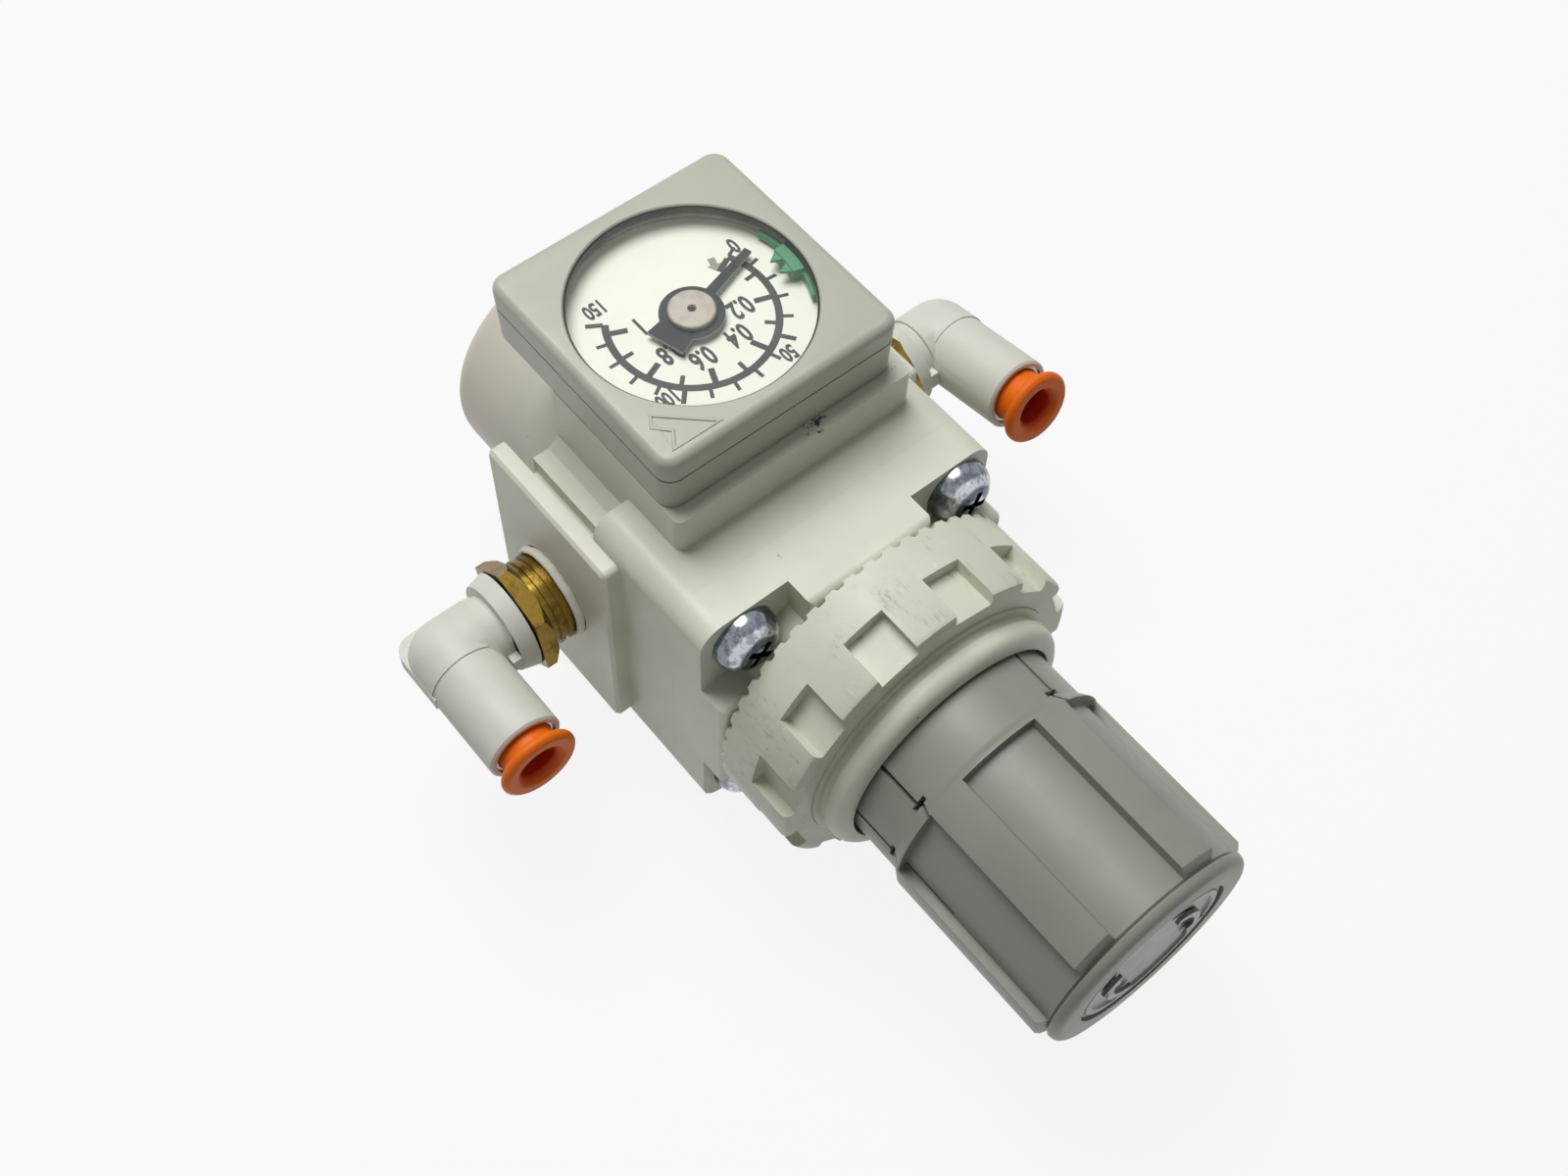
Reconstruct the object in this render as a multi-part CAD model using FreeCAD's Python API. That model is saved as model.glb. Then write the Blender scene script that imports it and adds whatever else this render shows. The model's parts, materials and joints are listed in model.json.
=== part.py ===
"""Modular pneumatic pressure regulator with a square embedded gauge and two swivel elbow fittings.

Millimetres, +Z up.  The regulator lies on its back face: +Z points out of the gauge, the stem
axis runs along Y with the knob at -Y, and the port axis runs along X.  The origin is on the flat
back face, straight below the point where the port axis crosses the stem axis.  Y stations are
chained from the joint between body and bonnet, and gauge heights from the front pad.
"""
import FreeCAD, Part
import math
import os

V = FreeCAD.Vector
X, Y, Z = V(1, 0, 0), V(0, 1, 0), V(0, 0, 1)

# ---------------------------------------------------------------- driving dimensions
AXIS_Z = 20.0            # height of the port and stem axes over the back face
RUN_FIT = 0.05           # radial clearance of a turning or sliding pair
LOOSE_FIT = 0.15         # radial clearance of a screw or a dropped-in piece
SEAT = 0.2               # axial gap that keeps two moving faces apart

# body
SEAM_Y = -17.9           # joint between body and bonnet
BLOCK_HALF_X = 18.3      # wide front block, also the bonnet square
BLOCK_HALF_Z = 17.3
BLOCK_EDGE_R = 2.7
BLOCK_L = 12.4
BODY_L = 24.4            # joint to the face that carries the bottom cap
CORE_HALF_X = 15.2
CORE_HALF_Z = 16.5
CORE_CHAMFER = 3.0
LEDGE_HALF_X = 17.0
LEDGE_HALF_Z = 13.6
HUB_NEAR_Y = -7.2        # boss between ledge and flange
HUB_STEP = 0.5           # hub's far side, short of the face that carries the cap
HUB_HALF_Z = 11.8
FLANGE_T = 1.95
FLANGE_FACE_X = 20.25    # half of the distance between the port faces
FLANGE_HALF_Y = 9.8
FLANGE_HALF_Z = 14.4
FLANGE_EDGE_R = 0.8
FLANGE_EDGE = 0.35
PAD_HALF_X = 14.6        # raised gauge pad
PAD_OFFSET_X = 0.75
PAD_L = 20.0             # its length, back from the face that carries the cap
PAD_TOP_Z = 42.1
BACK_PAD_HALF_X = 13.9
PAD_CORNER_R = 0.9
PORT_THREAD_R = 4.8
PORT_THREAD_L = 8.75
PORT_BORE_R = 2.4
PORT_COUNTERSINK = 0.55
UPPER_BORE_R = 12.6      # outlet chamber under the diaphragm
UPPER_BORE_L = 8.4
VALVE_WEB_T = 2.5        # wall that holds the valve seat
SEAT_R = 3.6
LOWER_BORE_R = 7.8       # inlet chamber round the valve
PASSAGE_R = 1.8
GAUGE_PORT_Y = -3.5
GAUGE_PORT_R = 1.4
DRILLING_R = 0.9

# bottom cap
CAP_R = 14.5
CAP_L = 20.9
CAP_DOME_R = 2.5
CAP_SPIGOT_L = 3.5
CAP_SPIGOT_R = 9.8
CAP_POCKET_L = 5.0       # spring pocket, measured from the spigot's end
CAP_SLOT_W = 1.6
CAP_SLOT_L = 13.0
CAP_SLOT_D = 1.2
CAP_SEAL_R = 0.6         # section radius of the O-ring

# bonnet
BONNET_L = 7.9           # square base, joint to crown
POCKET_D = 3.5           # depth of the four screw pockets under the crown
POCKET_HALF = 7.7
POCKET_R = 1.5
CROWN_R = 0.9
SCREW_HALF_X = 13.6
SCREW_HALF_Z = 13.4
SCREW_OFFSET_X = 0.3
SCREW_R = 2.0
SCREW_REACH = 8.4        # thread length in the body
SCREW_HEAD_R = 3.6
SCREW_HEAD_H = 3.0
NECK_R = 15.3
NECK_WALL = 2.4
NECK_PAST_NUT = 0.3
NECK_GROOVE_R = 14.4
NECK_GROOVE_L = 1.0
NECK_LIP_R = 14.8
NECK_LIP_FLAT = 0.8
NECK_LIP_L = 2.2
NECK_MOUTH_R = 13.1
NECK_POCKET_L = 4.4      # depth of the ring gap that takes the knob's skirt
TOWER_R = 10.4
TOWER_L = 12.6           # from the lip's end
TOWER_ROOF_T = 2.5
SPRING_BORE_R = 9.0
KEYWAY_W = 2.4
KEYWAY_D = 0.8
PLATE_ROOM_R = 12.8      # recess over the diaphragm plate
PLATE_ROOM_L = 2.7

# set nut
NUT_WALL = 3.45          # ring between thread and rim
NUT_L = 9.9
NUT_GAP = 0.2
NUT_NOTCHES = 12
NUT_NOTCH_W = 4.8
NUT_NOTCH_L = 5.2
NUT_NOTCH_D = 1.5
NUT_NOTCH_PHASE = 12.2
NUT_TEETH = 50
NUT_TOOTH_R = 0.62
NUT_EDGE = 0.7

# knob
KNOB_SKIRT_R = 12.5
KNOB_WALL = 1.5
KNOB_LAP = 3.4           # skirt inside the neck
KNOB_SKIRT_L = 9.0
KNOB_STEP_L = 1.3
KNOB_PAD_L = 19.6
KNOB_PAD_R = 13.25
KNOB_FLOOR_R = 12.15
KNOB_GROOVE_L = 0.55
KNOB_RIM_R = 12.45
KNOB_RIM_L = 1.25
KNOB_RIM_EDGE_R = 1.0
KNOB_END_T = 3.4
KNOB_PADS = 6
KNOB_PAD_ANGLE = 20.0
KNOB_PAD_PHASE = 20.7
KNOB_FINGERS = 3
KNOB_FINGER_ANGLE = 33.0
KNOB_FINGER_L = 8.0      # slit length past the shoulder
KNOB_SLIT_W = 0.5
KNOB_BOSS_R = 6.2
KNOB_BOSS_L = 9.7
KNOB_PULL = 2.5
DISC_R = 9.2
DISC_RECESS = 1.1

# adjusting screw, spring and diaphragm
THREAD_R = 4.0
HEX_AF = 7.0
HEX_L = 8.8
COLLAR_R = 6.4
COLLAR_T = 1.55
SCREW_L = 13.5           # from the tower's roof to the screw's tip
LOADER_GAP = 2.5         # free space between roof and spring nut at rest
LOADER_T = 3.0
LOADER_BOSS_R = 5.8
LOADER_BOSS_L = 1.6
SPRING_WIRE_R = 0.9
SPRING_MEAN_R = 7.0
SPRING_TURNS = 6
DIAPHRAGM_R = 15.5
DIAPHRAGM_T = 0.8
ROLL_H = 0.9             # height of the rolled fold
PLATE_R = 8.6
PLATE_T = 1.4
PLATE_BOSS_R = 5.6
PLATE_BOSS_L = 1.6
STEM_R = 1.5
STEM_PLATE_R = 8.0
STEM_PLATE_T = 1.2
STEM_L = 4.9
VALVE_R = 5.2
VALVE_T = 2.8
VALVE_BOSS_R = 3.4
VALVE_BOSS_L = 2.0
VALVE_PIN_R = 1.3
GUIDE_R = 2.5
GUIDE_L = 20.2
VALVE_SPRING_WIRE_R = 0.4
VALVE_SPRING_MEAN_R = 4.4
VALVE_SPRING_TURNS = 6

# gauge
COVER_X = 0.3            # centre of the square cover
COVER_Y = 2.15
DIAL_X = 0.0             # common axis of dial, pointer and opening
DIAL_Y = 1.95
GAUGE_GAP = 0.15         # cover over the pad
COVER_HALF = 14.25
COVER_FOOT_HALF = 14.05   # the walls lean out a little towards the top
COVER_H = 7.25
COVER_WALL = 1.15
COVER_CORNER_R = 1.8
COVER_TOP_R = 0.95
COVER_PARTING_H = 4.1    # height of the parting groove over the cover's rim
COVER_PARTING_W = 0.25
COVER_PARTING_D = 0.22
COVER_TOP_T = 1.15
OPENING_R = 12.05
OPENING_EDGE = 0.35
WINDOW_T = 0.5
WINDOW_RECESS = 0.15
CASE_HALF = 12.7
CASE_BASE_T = 2.5
CASE_FLOOR_T = 1.2
CASE_BORE_R = 11.2
CASE_WALL_R = 12.0       # round wall that carries the dial
CASE_SPIGOT_R = 2.3
GAUGE_SEAL_R = 0.6
GAUGE_SEAL_MEAN_R = 3.15
GAUGE_SCREW_HALF = 10.7
GAUGE_SCREW_R = 1.25
GAUGE_SCREW_HEAD_R = 2.05
DIAL_R = 12.75
DIAL_T = 0.7
DIAL_DEPTH = 2.5         # under the cover's top
SHAFT_R = 0.6
POINTER_LIFT = 0.55
POINTER_T = 0.35
POINTER_RING_R = 3.25
POINTER_TIP_R = 9.6
POINTER_TAIL_R = 4.5
POINTER_ANGLE = 73.0     # clockwise from +Y seen from above: the pointer rests at zero
HUB_R = 2.4
HUB_H = 0.6
LIMIT_ANGLE = 95.0
LIMIT_SPAN = 18.0
LIMIT_FOOT_SPAN = 48.0
LIMIT_IN_R = 10.75
LIMIT_TIP_R = 9.6
LIMIT_LIFT = 0.3         # over the dial
LIMIT_H = 1.3
LIMIT_HEAD_LIFT = 0.2    # of the arrowheads over the pointer
LIMIT_HEAD_T = 0.35

# elbow fittings
STUD_NECK_R = 4.75
STUD_NECK_L = 3.65        # port face to hexagon
STUD_THREAD_L = 8.15     # thread inside the port
STUD_HEX_L = 1.9
STUD_HEX_AF = 11.3
STUD_SPIGOT_R = 2.7
STUD_SPIGOT_L = 4.8
STUD_BORE_R = 1.6
STUD_SEAL_R = 5.25
STUD_SEAL_T = 0.85
COLLAR_GAP = 0.2        # hexagon to elbow collar
ELBOW_COLLAR_L = 1.9
ELBOW_COLLAR_R = 5.6
ELBOW_COLLAR_LEAN = 0.5
WAIST_R = 4.05           # waist between collar and barrel
WAIST_L = 1.5
BEND_R = 4.35             # round of arm and bend
TUBE_X = 33.3            # centre of the tube socket
SOCKET_R = 4.2
SOCKET_STEP_Y = 2.5      # where the wider socket starts
SOCKET_END_Y = 13.2
WEB_T = 1.8
WEB_OUT_X = 4.3          # web past the tube centre
WEB_BACK_Y = 4.4
WEB_FRONT_Y = 3.6
LUG_L = 2.0              # small lug beside the collar
LUG_FRONT_Y = 5.0
WEB_CORNER_R = 2.2
ELBOW_BORE_R = 1.85
SEAL_POCKET_R = 3.45
SEAL_POCKET_L = 2.6
TUBE_SEAL_R = 3.15
TUBE_SEAL_L = 1.6
CHUCK_R = 3.55
CHUCK_WALL = 0.35
CHUCK_FLOOR_T = 0.55
CHUCK_L = 4.55
BUTTON_R = 4.35
BUTTON_T = 1.2
BUTTON_SLEEVE_R = 3.1
BUTTON_SLEEVE_L = 4.3
BUTTON_BORE_R = 2.1
BUTTON_MOUTH = 0.8
BUTTON_GAP = {-1: 1.45, 1: 2.1}       # button to socket, left and right
SWIVEL_REST = {-1: 0.0, 1: -11.5}    # turn of each elbow about the port axis, as it lies

# ---------------------------------------------------------------- stations along the stem axis
CAP_FACE_Y = SEAM_Y + BODY_L
BLOCK_FAR_Y = SEAM_Y + BLOCK_L
PAD_NEAR_Y = CAP_FACE_Y - PAD_L
UPPER_FLOOR_Y = SEAM_Y + UPPER_BORE_L
LOWER_ROOF_Y = UPPER_FLOOR_Y + VALVE_WEB_T
SPIGOT_END_Y = CAP_FACE_Y - CAP_SPIGOT_L
CAP_SHOULDER_Y = SPIGOT_END_Y + CAP_POCKET_L
CAP_END_Y = CAP_FACE_Y + CAP_L
CROWN_Y = SEAM_Y - BONNET_L
POCKET_Y = CROWN_Y + POCKET_D
NUT_BACK_Y = CROWN_Y - NUT_GAP
NUT_R = NECK_R + RUN_FIT + NUT_WALL
NUT_FRONT_Y = NUT_BACK_Y - NUT_L
GROOVE_Y = NUT_FRONT_Y - NECK_PAST_NUT
LIP_Y = GROOVE_Y - NECK_GROOVE_L
NECK_END_Y = LIP_Y - NECK_LIP_L
NECK_FLOOR_Y = NECK_END_Y + NECK_POCKET_L
TOWER_END_Y = NECK_END_Y - TOWER_L
TOWER_ROOF_Y = TOWER_END_Y + TOWER_ROOF_T
KNOB_IN_Y = NECK_END_Y + KNOB_LAP
SHOULDER_Y = KNOB_IN_Y - KNOB_SKIRT_L
PAD_Y = SHOULDER_Y - KNOB_STEP_L
PAD_END_Y = PAD_Y - KNOB_PAD_L
RIM_Y = PAD_END_Y - KNOB_GROOVE_L
KNOB_END_Y = RIM_Y - KNOB_RIM_L
LOADER_Y = TOWER_ROOF_Y + LOADER_GAP
PLATE_TOP_Y = SEAM_Y - PLATE_T
STEM_PLATE_Y = SEAM_Y + DIAPHRAGM_T
STEM_END_Y = STEM_PLATE_Y + STEM_PLATE_T + STEM_L
VALVE_END_Y = LOWER_ROOF_Y + VALVE_T + VALVE_BOSS_L

# heights of the gauge, and stations along the port axis
COVER_BOTTOM_Z = PAD_TOP_Z + GAUGE_GAP
COVER_TOP_Z = COVER_BOTTOM_Z + COVER_H
COVER_ROOF_Z = COVER_TOP_Z - COVER_TOP_T
DIAL_Z = COVER_TOP_Z - DIAL_DEPTH
POINTER_Z = DIAL_Z + POINTER_LIFT
HUB_Z = POINTER_Z + POINTER_T
WINDOW_Z = COVER_TOP_Z - WINDOW_RECESS - WINDOW_T
HEX_X = FLANGE_FACE_X + STUD_NECK_L
HEX_END_X = HEX_X + STUD_HEX_L
COLLAR_X = HEX_END_X + COLLAR_GAP
STUD_END_X = HEX_END_X + STUD_SPIGOT_L
TUBE_SEAL_Y = SOCKET_END_Y - 6.6


# ---------------------------------------------------------------- helpers
def box(x0, x1, y0, y1, z0, z1):
    return Part.makeBox(x1 - x0, y1 - y0, z1 - z0, V(x0, y0, z0))


def cyl_y(r, y0, y1, x=0.0, z=AXIS_Z):
    y0, y1 = min(y0, y1), max(y0, y1)
    return Part.makeCylinder(r, y1 - y0, V(x, y0, z), Y)


def cyl_x(r, x0, x1, y=0.0, z=AXIS_Z):
    x0, x1 = min(x0, x1), max(x0, x1)
    return Part.makeCylinder(r, x1 - x0, V(x0, y, z), X)


def cyl_z(r, z0, z1, x=0.0, y=0.0):
    return Part.makeCylinder(r, z1 - z0, V(x, y, z0), Z)


def gauge_cyl(r, z0, z1):
    return cyl_z(r, z0, z1, DIAL_X, DIAL_Y)


def revolve_y(points, x=0.0, z=AXIS_Z):
    """Solid of revolution about an axis along Y from (radius, y) points."""
    pts = [V(x + r, y, z) for r, y in points]
    face = Part.Face(Part.makePolygon(pts + [pts[0]]))
    return face.revolve(V(x, 0, z), Y, 360)


def quarter(r, y, a, b, steps=6):
    """(radius, y) points of a quarter ellipse that turns from the side into an end face."""
    return [(r - a + a * math.cos(math.radians(90.0 * k / steps)), y + b * math.sin(math.radians(90.0 * k / steps)))
            for k in range(steps + 1)]


def long_edges(shape, axis):
    """Straight edges that run along one axis, 'X', 'Y' or 'Z'."""
    out = []
    for e in shape.Edges:
        d = e.Vertexes[-1].Point - e.Vertexes[0].Point
        if d.Length > 1e-6 and abs(abs(getattr(d, axis.lower())) - d.Length) < 1e-6:
            out.append(e)
    return out


def rounded_bar(half_x, half_z, y0, y1, r):
    """Box along Y about the stem axis with its four long edges rounded."""
    b = box(-half_x, half_x, y0, y1, AXIS_Z - half_z, AXIS_Z + half_z)
    return b.makeFillet(r, long_edges(b, "Y"))


def hexagon(af, axis, start, length, turn=0.0):
    """Hexagonal prism of the given width across flats."""
    r = af / math.sqrt(3.0)
    pts = [V(r * math.cos(math.radians(60 * k + turn)), r * math.sin(math.radians(60 * k + turn)), 0) for k in range(7)]
    prism = Part.Face(Part.makePolygon(pts)).extrude(V(0, 0, length))
    prism.Placement = FreeCAD.Placement(start, FreeCAD.Rotation(Z, axis))
    return prism


def spin(shape, angle):
    """Copy turned about the stem axis, angle from +Z towards +X."""
    s = shape.copy()
    s.rotate(V(0, 0, AXIS_Z), Y, angle)
    return s


def coil(mean_r, wire_r, y0, y1, turns, sides, steps):
    """Coil spring about the stem axis between y0 and y1; the wire has a polygon section."""
    rise = (y1 - y0) - 2 * wire_r
    rings = []
    for j in range(turns * steps + 1):
        a = 2 * math.pi * j / steps
        y = y0 + wire_r + rise * j / (turns * steps)
        ring = []
        for i in range(sides):
            b = 2 * math.pi * (i + 0.5) / sides
            r = mean_r + wire_r * math.cos(b)
            ring.append(V(r * math.sin(a), y + wire_r * math.sin(b), AXIS_Z + r * math.cos(a)))
        rings.append(ring)

    def tri(a, b, c):
        return Part.Face(Part.makePolygon([a, b, c, a]))

    faces = []
    for p, q in zip(rings[:-1], rings[1:]):
        for i in range(sides):
            k = (i + 1) % sides
            faces += [tri(p[i], p[k], q[k]), tri(p[i], q[k], q[i])]
    for ring in (rings[0], rings[-1]):
        faces.append(Part.Face(Part.makePolygon(ring + [ring[0]])))
    solid = Part.Solid(Part.Shell(faces))
    if solid.Volume < 0:
        solid.reverse()
    return solid


def ring_seal(mean_r, section_r, centre, axis):
    """O-ring with a twelve-sided section."""
    pts = [V(mean_r + section_r * math.cos(math.radians(30 * k)), 0, section_r * math.sin(math.radians(30 * k))) for k in range(13)]
    ring = Part.Face(Part.makePolygon(pts)).revolve(V(0, 0, 0), Z, 360)
    ring.Placement = FreeCAD.Placement(centre, FreeCAD.Rotation(Z, axis))
    return ring


def fuse(shapes):
    out = shapes[0].multiFuse(shapes[1:]) if len(shapes) > 1 else shapes[0]
    return out.removeSplitter()


def cut(shape, tools):
    return shape.cut(tools[0].multiFuse(tools[1:]) if len(tools) > 1 else tools[0])


def gauge_polar(angle, r, z):
    """Point on the gauge, angle clockwise from +Y as seen from above."""
    a = math.radians(angle)
    return V(DIAL_X + r * math.sin(a), DIAL_Y + r * math.cos(a), z)


def plate(points, height):
    return Part.Face(Part.makePolygon(points + points[:1])).extrude(V(0, 0, height))


def edges_in_plane(shape, axis, value):
    return [e for e in shape.Edges if e.Vertexes and all(abs(getattr(v, axis) - value) < 1e-6 for v in e.Vertexes)]


def screw_places():
    return [(SCREW_OFFSET_X + s * SCREW_HALF_X, AXIS_Z + t * SCREW_HALF_Z) for s in (-1, 1) for t in (-1, 1)]


def gauge_screw_places():
    return [(COVER_X + s * GAUGE_SCREW_HALF, COVER_Y - GAUGE_SCREW_HALF) for s in (-1, 1)]


# ---------------------------------------------------------------- body
def make_body():
    core = box(-CORE_HALF_X, CORE_HALF_X, SEAM_Y, CAP_FACE_Y, AXIS_Z - CORE_HALF_Z, AXIS_Z + CORE_HALF_Z)
    pad = box(PAD_OFFSET_X - PAD_HALF_X, PAD_OFFSET_X + PAD_HALF_X, PAD_NEAR_Y, CAP_FACE_Y, AXIS_Z + CORE_HALF_Z / 2, PAD_TOP_Z)
    back = box(-BACK_PAD_HALF_X, BACK_PAD_HALF_X, PAD_NEAR_Y, CAP_FACE_Y, 0.0, AXIS_Z - CORE_HALF_Z / 2)
    solids = [
        rounded_bar(BLOCK_HALF_X, BLOCK_HALF_Z, SEAM_Y, BLOCK_FAR_Y, BLOCK_EDGE_R),
        core.makeChamfer(CORE_CHAMFER, long_edges(core, "Y")),
        box(-LEDGE_HALF_X, LEDGE_HALF_X, BLOCK_FAR_Y - 1, CAP_FACE_Y, AXIS_Z - LEDGE_HALF_Z, AXIS_Z + LEDGE_HALF_Z),
        box(-FLANGE_FACE_X + FLANGE_T / 2, FLANGE_FACE_X - FLANGE_T / 2, HUB_NEAR_Y, CAP_FACE_Y - HUB_STEP,
            AXIS_Z - HUB_HALF_Z, AXIS_Z + HUB_HALF_Z),
    ]
    for p in (pad, back):
        near = [e for e in long_edges(p, "Z") if abs(e.Vertexes[0].Y - PAD_NEAR_Y) < 1e-6]
        solids.append(p.makeFillet(PAD_CORNER_R, near))
    for s in (-1, 1):
        x0, x1 = sorted((s * (FLANGE_FACE_X - FLANGE_T), s * FLANGE_FACE_X))
        flange = box(x0, x1, -FLANGE_HALF_Y, FLANGE_HALF_Y, AXIS_Z - FLANGE_HALF_Z, AXIS_Z + FLANGE_HALF_Z)
        flange = flange.makeFillet(FLANGE_EDGE_R, long_edges(flange, "X"))
        solids.append(flange.makeChamfer(FLANGE_EDGE, edges_in_plane(flange, "X", s * FLANGE_FACE_X)))
    body = fuse(solids)
    top_z = AXIS_Z + CORE_HALF_Z
    bottom_z = AXIS_Z - CORE_HALF_Z
    cuts = [
        cyl_y(DIAPHRAGM_R + 2 * RUN_FIT, SEAM_Y, SEAM_Y + DIAPHRAGM_T),
        cyl_y(UPPER_BORE_R, SEAM_Y, UPPER_FLOOR_Y),
        cyl_y(SEAT_R, UPPER_FLOOR_Y - 1, LOWER_ROOF_Y + 1),
        cyl_y(LOWER_BORE_R, LOWER_ROOF_Y, CAP_FACE_Y),
        cyl_y(CAP_SPIGOT_R, SPIGOT_END_Y, CAP_FACE_Y + 1),
        cyl_y(CAP_SPIGOT_R + 2.6 * CAP_SEAL_R, CAP_FACE_Y - 2 * CAP_SEAL_R, CAP_FACE_Y + 1),
        # outlet passage from the right port to the chamber under the diaphragm
        cyl_y(PASSAGE_R, UPPER_FLOOR_Y - 1, -1.0, x=UPPER_BORE_R - 0.2),
        # gauge ports, front and back, each with a slanted drilling into the outlet chamber
        cyl_z(GAUGE_SEAL_MEAN_R + GAUGE_SEAL_R + 0.25, PAD_TOP_Z - 2 * GAUGE_SEAL_R, PAD_TOP_Z + 1, 0, GAUGE_PORT_Y),
        cyl_z(GAUGE_PORT_R, top_z - 0.7, PAD_TOP_Z, 0, GAUGE_PORT_Y),
        Part.makeCylinder(DRILLING_R, 11.0, V(0, GAUGE_PORT_Y + 0.3, top_z + 0.5), V(0, -9.0, -6.3)),
        cyl_z(PORT_THREAD_R, -1.0, bottom_z + 3.3, 0, GAUGE_PORT_Y),
        Part.makeCylinder(DRILLING_R, 10.5, V(0, GAUGE_PORT_Y, bottom_z + 2.5), V(0, -9.0, 3.2)),
    ]
    for s in (-1, 1):
        inner = FLANGE_FACE_X - PORT_THREAD_L
        cuts.append(cyl_x(PORT_THREAD_R, s * inner, s * (FLANGE_FACE_X + 1)))
        cuts.append(Part.makeCone(PORT_THREAD_R + PORT_COUNTERSINK, PORT_THREAD_R, PORT_COUNTERSINK,
                                  V(s * FLANGE_FACE_X, 0, AXIS_Z), V(-s, 0, 0)))
    cuts.append(cyl_x(PORT_BORE_R, -(FLANGE_FACE_X - PORT_THREAD_L) - 1, -LOWER_BORE_R + 1.5))
    for x, z in screw_places():
        cuts.append(cyl_y(SCREW_R, SEAM_Y - 1, SEAM_Y + SCREW_REACH + 1.5, x, z))
    for x, y in gauge_screw_places():
        cuts.append(cyl_z(GAUGE_SCREW_R, top_z + 0.1, PAD_TOP_Z + 1, x, y))
    return cut(body, cuts)


def make_bottom_cap():
    outer = revolve_y([(0, CAP_FACE_Y), (CAP_R, CAP_FACE_Y)]
                      + quarter(CAP_R, CAP_END_Y - CAP_DOME_R, CAP_DOME_R, CAP_DOME_R) + [(0, CAP_END_Y)])
    cap = fuse([outer, cyl_y(CAP_SPIGOT_R, SPIGOT_END_Y, CAP_FACE_Y + 1)])
    return cut(cap, [
        cyl_y(LOWER_BORE_R, SPIGOT_END_Y - 1, CAP_SHOULDER_Y),
        cyl_y(GUIDE_R + RUN_FIT, CAP_SHOULDER_Y - 1, VALVE_END_Y + GUIDE_L + 3.0),
        box(-CAP_SLOT_L / 2, CAP_SLOT_L / 2, CAP_END_Y - CAP_SLOT_D, CAP_END_Y + 1, AXIS_Z - CAP_SLOT_W / 2, AXIS_Z + CAP_SLOT_W / 2),
    ])


def make_back_plug():
    plug = cyl_z(PORT_THREAD_R, 0.6, AXIS_Z - CORE_HALF_Z + 2.9, 0, GAUGE_PORT_Y)
    return plug.cut(hexagon(5.0, Z, V(0, GAUGE_PORT_Y, -0.4), 3.6))


# ---------------------------------------------------------------- bonnet and nut
def make_bonnet():
    square = rounded_bar(BLOCK_HALF_X, BLOCK_HALF_Z, CROWN_Y, SEAM_Y, BLOCK_EDGE_R)
    pockets = []
    far = BLOCK_HALF_X + 2
    for sx in (-1, 1):
        for sz in (-1, 1):
            x0, x1 = sorted((sx * POCKET_HALF, sx * far))
            z0, z1 = sorted((AXIS_Z + sz * POCKET_HALF, AXIS_Z + sz * far))
            p = box(x0, x1, CROWN_Y - 1, POCKET_Y, z0, z1)
            inner = [e for e in long_edges(p, "Y") if abs(abs(e.Vertexes[0].X) - POCKET_HALF) < 1e-6
                     and abs(abs(e.Vertexes[0].Z - AXIS_Z) - POCKET_HALF) < 1e-6]
            pockets.append(p.makeFillet(POCKET_R, inner))
    square = cut(square, pockets)
    square = square.makeFillet(CROWN_R, edges_in_plane(square, "Y", CROWN_Y))
    inner_r = NECK_R - NECK_WALL
    flat_end = LIP_Y - NECK_LIP_FLAT
    lip = [(r, 2 * flat_end - y) for r, y in quarter(NECK_LIP_R, flat_end, NECK_LIP_R - NECK_MOUTH_R, NECK_LIP_L - NECK_LIP_FLAT)]
    root = SEAM_Y - BONNET_L / 2
    neck = revolve_y([(inner_r, root), (NECK_R, root), (NECK_R, GROOVE_Y), (NECK_GROOVE_R, GROOVE_Y),
                      (NECK_GROOVE_R, LIP_Y), (NECK_LIP_R, LIP_Y)] + lip + [(inner_r, NECK_END_Y)])
    floor = cyl_y(NECK_R - 1, NECK_FLOOR_Y, root)
    tower = cyl_y(TOWER_R, TOWER_END_Y, NECK_FLOOR_Y + 1)
    bonnet = fuse([square, neck, floor, tower])
    cuts = [
        cyl_y(inner_r, NECK_END_Y - 1, NECK_FLOOR_Y).cut(cyl_y(TOWER_R, NECK_END_Y - 2, NECK_FLOOR_Y + 1)),
        cyl_y(SPRING_BORE_R, TOWER_ROOF_Y, SEAM_Y + 1),
        cyl_y(PLATE_ROOM_R, SEAM_Y - PLATE_ROOM_L, SEAM_Y + 1),
        cyl_y(THREAD_R + RUN_FIT, TOWER_END_Y - 1, TOWER_ROOF_Y + 1),
        # two grooves that keep the spring nut from turning
        box(-SPRING_BORE_R - KEYWAY_D, SPRING_BORE_R + KEYWAY_D, LOADER_Y - 0.8, SEAM_Y + 1,
            AXIS_Z - KEYWAY_W / 2, AXIS_Z + KEYWAY_W / 2),
    ]
    cuts += [cyl_y(SCREW_R + LOOSE_FIT, POCKET_Y - 1, SEAM_Y + 1, x, z) for x, z in screw_places()]
    return cut(bonnet, cuts)


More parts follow.
